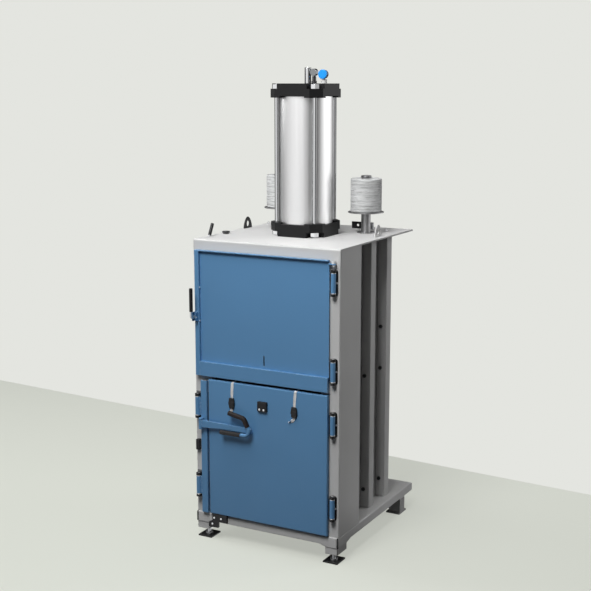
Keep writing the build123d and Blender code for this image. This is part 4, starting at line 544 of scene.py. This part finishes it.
# Twine rolls: pale polypropylene twine, wound crosswise in layers into a cylinder.
# Each turns loose on its spindle and rests on the disc.
bore = 0.0092
side_slack = 0.0014
rim_round = 0.004
rim_share = 0.035
rim_ripple = 0.0005
rim_flat = 0.93
side_rows = 200
rim_rows = 16
roll_columns = 180
# A strand's pitch, the pitches that it climbs in a radian, and half the height of its ridge. Layers slant
# one way and the other in turn.
strand = 0.0026
strand_slant = 2.2
strand_ridge = 0.000175
layer_height = 0.0132
layer_groove = 0.0008
groove_power = 9
sway_size = (0.0012, 0.0030)
sway_climb = (2, 9)
any_phase = (0, 6.28)
lump_size = 0.00028
lump_turns = 5
lump_climb = 11
lump_rise = 27.9
twine_white = (0.68, 0.69, 0.69)
strand_stretch = (18, 18, 420)
strand_noise = (0.35, 0.50)
strand_light = (0.42, 1.04)
strand_matt = (0.72, 0.5)
shade_stretch = (4, 4, 95)
shade_noise = (0.35, 0.65)
shade_light = (0.84, 1.06)


def woven_mesh(name, points, closed_across, closed_along):
    """A smooth mesh from a grid of points: each square of neighbours is a face, and the grid may close on
    itself across its columns and along its rows. Open rows of a closed outline get one flat face at each end.
    Its map is the column and row share."""
    rows, columns = points.shape[:2]
    row = np.arange(rows if closed_along else rows - 1)[:, None]
    column = np.arange(columns if closed_across else columns - 1)[None, :]
    above = (row + 1) % rows
    beside = (column + 1) % columns
    faces = np.stack([row * columns + column, row * columns + beside,
                      above * columns + beside, above * columns + column], -1).reshape(-1, 4)
    ends = []
    if closed_across and not closed_along:
        ends = [np.arange(columns)[::-1].tolist(), (np.arange(columns) + (rows - 1) * columns).tolist()]
    mesh = bpy.data.meshes.new(name)
    mesh.from_pydata(points.reshape(-1, 3).tolist(), [], faces.tolist() + ends)
    square = np.array([(0, 0), (1, 0), (1, 1), (0, 1)])
    spots = (np.stack(np.broadcast_arrays(column, row), -1)[:, :, None] + square) / (columns, rows)
    end_spots = np.zeros(2 * sum(len(end) for end in ends))
    mesh.uv_layers.new(name="surface").data.foreach_set("uv", np.concatenate([spots.ravel(), end_spots]))
    mesh.shade_smooth()
    piece = bpy.data.objects.new(name, mesh)
    bpy.context.scene.collection.objects.link(piece)
    return piece


def wound_roll(name, node_name, seed):
    """A wound cylinder: around it by angle, and along a closed outline from the bore over the foot, up the
    side and back over the top. The side's radius falls in shallow grooves between layers, whose height sways
    with the angle, rises in slanted ridges, one for each strand, and rounds in at both rims. Products of two
    sines add low lumps to it, and the top ripples with its strands."""
    low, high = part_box(node_name)
    centre = ((low.x + high.x) / 2, (low.y + high.y) / 2)
    radius = (high.x - low.x) / 2
    height = high.z - low.z
    draw = np.random.default_rng(seed)
    angle = np.linspace(0, 2 * np.pi, roll_columns, endpoint=False)
    turn, rise = np.meshgrid(angle, np.linspace(0, 1, side_rows))
    tall = rise * height
    sway = 0
    for n in (1, 2, 3):
        size = draw.uniform(*sway_size)
        sway = sway + size * np.sin(n * turn + draw.uniform(*any_phase) + draw.uniform(*sway_climb) * rise)
    layer = (tall + sway) / layer_height
    groove = layer_groove * np.abs(np.cos(np.pi * layer)) ** groove_power
    slant = np.where(np.floor(layer + 0.5) % 2 < 1, strand_slant, -strand_slant)
    ridge = strand_ridge * (1 + np.cos(2 * np.pi * (tall / strand + slant * turn)))
    around = np.sin(lump_turns * turn + lump_climb * rise + draw.uniform(*any_phase))
    lumps = lump_size * around * np.sin(lump_rise * rise)
    near_rim = np.clip((rim_share - np.minimum(rise, 1 - rise)) / rim_share, 0, 1)
    side = radius - side_slack - groove - rim_round * near_rim ** 2 + ridge + lumps
    inward = np.linspace(0, 1, rim_rows + 1)[1:, None]
    foot = side[0] + (bore - side[0]) * inward[::-1]
    top = side[-1] + (bore - side[-1]) * inward
    ripple = rim_ripple * (1 + np.sin(top / strand * 2 * np.pi + 2 * angle)) * (top < radius * rim_flat)
    reach = np.vstack([foot, side, top])
    level = np.vstack([np.zeros_like(foot), tall, height - ripple])
    points = np.stack([centre[0] + reach * np.cos(angle), centre[1] + reach * np.sin(angle),
                       low.z + level], -1)
    return woven_mesh(name, points, True, True)


def twine_finish():
    """Twine: a noise drawn out sideways gives its strands, with painted shade in the hollows between them,
    which are also duller. A wider one, drawn out less, gives bands of shade."""
    material = bpy.data.materials.new("pale_twine")
    material.use_nodes = True
    tree = material.node_tree
    surface = tree.nodes["Principled BSDF"]
    place = node(tree, "TexCoord").outputs["Object"]
    drawn = node(tree, "VectorMath", {0: place, 1: strand_stretch}, operation="MULTIPLY").outputs[0]
    strands = node(tree, "TexNoise", {"Vector": drawn, "Scale": 1, "Detail": 3, "Roughness": 0.6}).outputs[0]
    drawn = node(tree, "VectorMath", {0: place, 1: shade_stretch}, operation="MULTIPLY").outputs[0]
    bands = node(tree, "TexNoise", {"Vector": drawn, "Scale": 1, "Detail": 3, "Distortion": 0.6}).outputs[0]
    fine_light = remap(tree, strands, strand_noise, strand_light)
    wide_light = remap(tree, bands, shade_noise, shade_light)
    colour = scaled(tree, twine_white, calc(tree, "MULTIPLY", fine_light, wide_light))
    tree.links.new(colour, surface.inputs["Base Color"])
    tree.links.new(remap(tree, strands, noise_span, strand_matt), surface.inputs["Roughness"])
    bump = node(tree, "Bump", {"Strength": 0.5, "Distance": 0.0006, "Height": strands})
    tree.links.new(bump.outputs[0], surface.inputs["Normal"])
    surface.inputs["Sheen Weight"].default_value = 0.2
    return material


pale_twine = twine_finish()
for side, seed in (("left", 3), ("right", 8)):
    roll = wound_roll(f"wound_roll_{side}", f"twine_roll_{side}", seed)
    roll.data.materials.append(pale_twine)
    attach(roll, f"roll_{side}")
    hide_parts(f"twine_roll_{side}")

# Lifting eyes: two arched steel plates welded to the roof.
# The left one is painted black, the right one grey like the roof.
eye_thick = 0.0060
eye_full = 1.75
eye_bevel = 0.0010
hole_share = 0.40
hole_half = (0.0145, 0.0165)
arch_steps = 45
foot_steps = 13


def eye_plate(name, middle):
    """An arched plate with a rounded hole. The arch is half of a superellipse, width to the power 2/n of a
    cosine and height to the same power of a sine, closed by a straight foot; the hole is an ellipse, and each
    of its points lies on the line from its centre to a point of the arch."""
    low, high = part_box("lifting_eyes")
    half = (high.y - low.y) / 2
    tall = high.z - low.z
    turn = np.linspace(0, np.pi, arch_steps)
    arch = np.stack([np.abs(np.cos(turn)) ** (2 / eye_full) * np.sign(np.cos(turn)) * half,
                     np.sin(turn).clip(0, 1) ** (2 / eye_full) * tall], -1)
    foot = np.stack([np.linspace(-half, half, foot_steps)[1:-1], np.zeros(foot_steps - 2)], -1)
    outer = np.concatenate([arch, foot])
    centre = np.array([0.0, hole_share * tall])
    arm = outer - centre
    away = arm / hole_half
    inner = centre + away / np.linalg.norm(away, axis=1, keepdims=True) * hole_half
    inset = centre + arm * (1 - eye_bevel / np.linalg.norm(arm, axis=1, keepdims=True))
    inset = np.where(outer[:, 1:] > 0, inset, outer)
    rings = np.stack([inner, inset, outer, outer, inset, inner])
    face = eye_thick / 2
    edge = face - eye_bevel
    depth = np.array([-face, -face, -edge, edge, face, face])
    points = np.stack([middle + np.broadcast_to(depth[:, None], rings.shape[:2]),
                       (low.y + high.y) / 2 + rings[..., 0], low.z + rings[..., 1]], -1)
    plate = woven_mesh(name, points, True, True)
    plate.modifiers.new("smooth_rounds", "NODES").node_group = soft_rounds
    return plate


eye_paint = black_paint.copy()
join_finish(eye_paint, spray, {**grey_coat, "Round": 0.002}, past(eye_paint.node_tree, "X", 0))
dress(["lifting_eyes"], eye_paint)
eyes_low, eyes_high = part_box("lifting_eyes")
for side, middle in (("left", eyes_low.x + eye_thick / 2), ("right", eyes_high.x - eye_thick / 2)):
    piece = eye_plate(f"lifting_eye_{side}", middle)
    piece.data.materials.append(eye_paint)
    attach(piece, "cabinet")
    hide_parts("lifting_eyes")

# Hand controls: the down lever and stop button at the roof's left edge, and the upper door's latch lever.
# The levers are plated, with moulded grips, and the button sits in a moulded collar.
lever_alloy = finish(
    "plated_lever", grain,
    {"Metal": (0.62, 0.63, 0.64, 1), "Polish": 0.36,
     "Grain": 0.1, "Stretch": (200, 200, 200), "Blotch": 0.2},
    {"Metallic": 0.9})
dress(["control_lever", "latch_lever"], lever_alloy)
black_plastic = finish(
    "black_plastic", moulded, {"Tint": (0.007, 0.007, 0.0075, 1), "Matt": 0.42, "Pebble": 0.15, "Drift": 0.4},
    {"Specular IOR Level": 0.3})
dress(["control_grip", "latch_grip", "button_collar"], black_plastic)
dark_button = finish(
    "dark_button", moulded, {"Tint": (0.035, 0.035, 0.037, 1), "Matt": 0.36, "Pebble": 0.08, "Drift": 0.3})
dress(["push_button"], dark_button)

# Doors: folded sheet sprayed blue, with a painted highlight in pale blue along their rounded edges. The upper
# one has a raised strip and a bottom bar, the lower one a lock strip. Hinge barrels are welded on and painted
# with them. The webs that hold the barrels sit behind the doors' right edges, painted black as painted shade.
blue = (0.120, 0.294, 0.530, 1)
# Pale blue for the painted highlight along the doors' rounded edges, laid on by the edge mark of the paint.
blue_edge_highlight = (0.42, 0.60, 0.80, 1)
web_side = 0.3585
web_front = -0.432
blue_paint = finish(
    "blue_paint", spray,
    {"Paint": blue, "UnderAndEdgeLight": blue_edge_highlight, "Sheen": 0.36, "Peel": 0.10, "WearAndEdgeLight": 1.5, "Round": 0.0035},
    {"Specular IOR Level": 0.35})
tree = blue_paint.node_tree
# Painted shade: the webs behind the doors' right edges are black, where the gap beside the barrels lies in
# shade.
web_painted_shade = calc(tree, "MULTIPLY", past(tree, "X", web_side), past(tree, "Y", web_front))
join_finish(blue_paint, spray, {**black_coat, "Sheen": 0.5, "Peel": 0.1, "WearAndEdgeLight": 0.2, "Round": 0.001}, web_painted_shade)
dress(["upper_door_panel", "upper_door_frame", "latch_bracket",
       "lower_door_panel", "lock_strip", "lock_lever"], blue_paint)

# Hinge leaves screwed to the columns, leaves of the lock strip, and the stepped rest under the lower door:
# black painted steel. The boxes on the lower door and the left column are moulded plastic.
dress(["hinge_leaves", "strip_hinge_leaves", "door_rest"], black_paint)
dress(["door_box", "door_sensor"], black_plastic)

# Grip and sleeve on the lock lever: a grey moulded grip on the pull, a dark brown sleeve round the bend.
# Both are rubbery plastic, pushed on.
grey_grip = finish(
    "grey_grip", moulded, {"Tint": (0.020, 0.018, 0.018, 1), "Matt": 0.5, "Pebble": 0.2, "Drift": 0.3},
    {"Specular IOR Level": 0.3})
dress(["lever_grip"], grey_grip)
brown_sleeve = finish(
    "brown_sleeve", moulded, {"Tint": (0.012, 0.0075, 0.0065, 1), "Matt": 0.5, "Pebble": 0.25, "Drift": 0.5},
    {"Specular IOR Level": 0.25})
dress(["lever_sleeve"], brown_sleeve)

# Bands that tie the bale: flat woven polyester straps, folded over the lower door and held by black moulded
# buckles. Each hangs a little bowed, and ends below its buckle in a loose curled tail.
strap_half = 0.0070
strap_thick = 0.0012
strap_crown = 0.0024
edge_power = 8
edge_keep = 0.02
strap_rows = 220
strap_columns = 11
bend_reach = 4
# Between these heights a strap comes free of its buckle, meets the door's top, leans, and becomes its tail.
free_front = -0.44
free_low = (0.782, 0.802)
free_high = (0.856, 0.846)
free_twist = 0.22
lean_rise = (0.786, 0.858)
tail_fall = (0.722, 0.702)
tail_twist = 0.7
# The line of both straps as depth and height, from behind the door over its top and down its front.
strap_line = ((-0.3897, 0.7690), (-0.3897, 0.8400), (-0.3897, 0.8587), (-0.4180, 0.8588), (-0.4452, 0.8588),
              (-0.4470, 0.8500), (-0.4482, 0.8150), (-0.4466, 0.7900), (-0.4453, 0.7790), (-0.4453, 0.7270))
# Each strap's place across the door, the points of its tail, and how far its upper end leans to the right.
straps = {
    "left": (-0.178, ((-0.0006, -0.4462, 0.7180), (-0.0070, -0.4490, 0.7060), (-0.0150, -0.4478, 0.6960),
                      (-0.0190, -0.4462, 0.6890)), 0.0035),
    "right": (0.178, ((-0.0010, -0.4462, 0.7200), (-0.0090, -0.4500, 0.7080), (-0.0200, -0.4510, 0.7010),
                      (-0.0300, -0.4475, 0.6990)), 0.0060),
}
weave_light = (0.82, 1.04)
weave_shift = (0.12, -0.05)
# A buckle's half width, and by what shares it swells, narrows and thins at its ends, and waves.
buckle_half = 0.0172
buckle_swell = 0.20
buckle_narrow = 0.25
buckle_thin = 0.45
buckle_wave = 0.14
buckle_square = 0.55
buckle_start = 0.06
buckle_rows = 40
buckle_columns = 48


def grows(value, start, end):
    """Grows in proportion from 0 at the start value to 1 at the end value, and is held beyond both."""
    return np.clip((value - start) / (end - start), 0, 1)


def strap(name, middle, tail, lean):
    """A flat strip carried along a path. The path's corners are rounded by a moving average, and the strip's
    outline is its width times its thickness, thinned at both edges by the root of 1.02 - u to the power 8,
    and crowned by (1 - u * u) where it hangs free. There it also twists a little, and its tail more."""
    line = np.array([(0.0, y, z) for y, z in strap_line] + list(tail))
    gaps = np.linalg.norm(np.diff(line, axis=0), axis=1)
    along = np.concatenate([[0], np.cumsum(gaps)])
    even = np.linspace(0, along[-1], strap_rows)
    path = np.stack([np.interp(even, along, line[:, k]) for k in range(3)], -1)
    padded = np.pad(path, ((bend_reach, bend_reach), (0, 0)), mode="edge")
    path = np.mean([padded[k:k + len(path)] for k in range(2 * bend_reach + 1)], axis=0)
    height = path[:, 2]
    hanging = grows(height, *free_low) * grows(height, *free_high) * (path[:, 1] < free_front)
    loose = grows(height, *tail_fall)
    path[:, 0] = path[:, 0] + middle + lean * grows(height, *lean_rise)
    ahead = np.gradient(path, axis=0)
    ahead = ahead / np.linalg.norm(ahead, axis=1, keepdims=True)
    across = np.array([1.0, 0.0, 0.0]) - ahead * ahead[:, :1]
    across = across / np.linalg.norm(across, axis=1, keepdims=True)
    out = np.cross(across, ahead)
    twist = (free_twist * hanging + tail_twist * loose)[:, None]
    across, out = across * np.cos(twist) + out * np.sin(twist), out * np.cos(twist) - across * np.sin(twist)
    share = np.linspace(-1, 1, strap_columns)
    u = np.concatenate([share, share[::-1]])
    face = np.repeat([1.0, -1.0], strap_columns)
    free = np.clip(hanging + loose, 0, 1)[:, None]
    thin = np.sqrt(np.clip(1 + edge_keep - u ** edge_power, 0, 1))
    lift = face * strap_thick / 2 * thin + free * strap_crown * (1 - u * u)
    points = path[:, None] + across[:, None] * (u * strap_half)[:, None] + out[:, None] * lift[..., None]
    return woven_mesh(name, points, True, False)


def strap_weave():
    """Woven strap: ribs along its length crossed by fine picks, on the strip's own map, whiter on the ribs.
    Both are sines of the map's shares, taken without their sign."""
    group, given, result = effect("strap_weave", {
        "Yarn": "Color", "Matt": "Float", "Ribs": "Float", "Picks": "Float"})
    spot = node(group, "SeparateXYZ", {0: node(group, "TexCoord").outputs["UV"]}).outputs
    rib = calc(group, "ABSOLUTE", calc(group, "SINE", calc(group, "MULTIPLY", spot["X"], given["Ribs"])))
    pick = calc(group, "ABSOLUTE", calc(group, "SINE", calc(group, "MULTIPLY", spot["Y"], given["Picks"])))
    weave = calc(group, "MULTIPLY", rib, pick)
    colour = scaled(group, given["Yarn"], remap(group, weave, (0, 0.8), weave_light))
    rough = calc(group, "ADD", remap(group, weave, (0, 1), weave_shift), given["Matt"])
    relief = node(group, "Bump", {"Strength": 0.3, "Distance": 0.0002, "Height": weave})
    return feed(group, result, colour, rough, relief.outputs[0])


def buckle(name, middle):
    """A moulded buckle: superellipse sections stacked upwards. The width swells in the middle by a sine, the
    depth has two low waves, and both stay full until the ends, where they close by 1 - t to the power 8, to
    the power 0.4."""
    low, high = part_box("band_cleats")
    rise = 0.5 - 0.5 * np.cos(np.linspace(buckle_start, np.pi - buckle_start, buckle_rows))
    full = (1 - np.abs(2 * rise - 1) ** 8) ** 0.4
    swell = 1 - buckle_swell + buckle_swell * np.sin(np.pi * rise)
    waves = 1 - buckle_wave + buckle_wave * np.cos(4 * np.pi * rise)
    wide = buckle_half * swell * (1 - buckle_narrow + buckle_narrow * full)
    deep = (high.y - low.y) / 2 * waves * (1 - buckle_thin + buckle_thin * full)
    turn = np.linspace(0, 2 * np.pi, buckle_columns, endpoint=False)
    side = np.sign(np.cos(turn)) * np.abs(np.cos(turn)) ** buckle_square
    face = np.sign(np.sin(turn)) * np.abs(np.sin(turn)) ** buckle_square
    height = low.z + (high.z - low.z) * rise
    points = np.stack([middle + wide[:, None] * side, high.y - deep[:, None] * (1 - face),
                       np.broadcast_to(height[:, None], (buckle_rows, buckle_columns))], -1)
    return woven_mesh(name, points, True, False)


white_strap = finish(
    "white_strap", strap_weave(), {"Yarn": (0.97, 0.97, 0.96, 1), "Matt": 0.30, "Ribs": 60, "Picks": 500},
    {"Sheen Weight": 0.2})
dress(["band_cleats"], black_plastic)
for side, (middle, tail, lean) in straps.items():
    piece = strap(f"strap_{side}", middle, tail, lean)
    piece.data.materials.append(white_strap)
    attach(piece, "lower_door")
    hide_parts("bands")
    piece = buckle(f"buckle_{side}", middle)
    piece.data.materials.append(black_plastic)
    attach(piece, "lower_door")
    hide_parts("band_cleats")
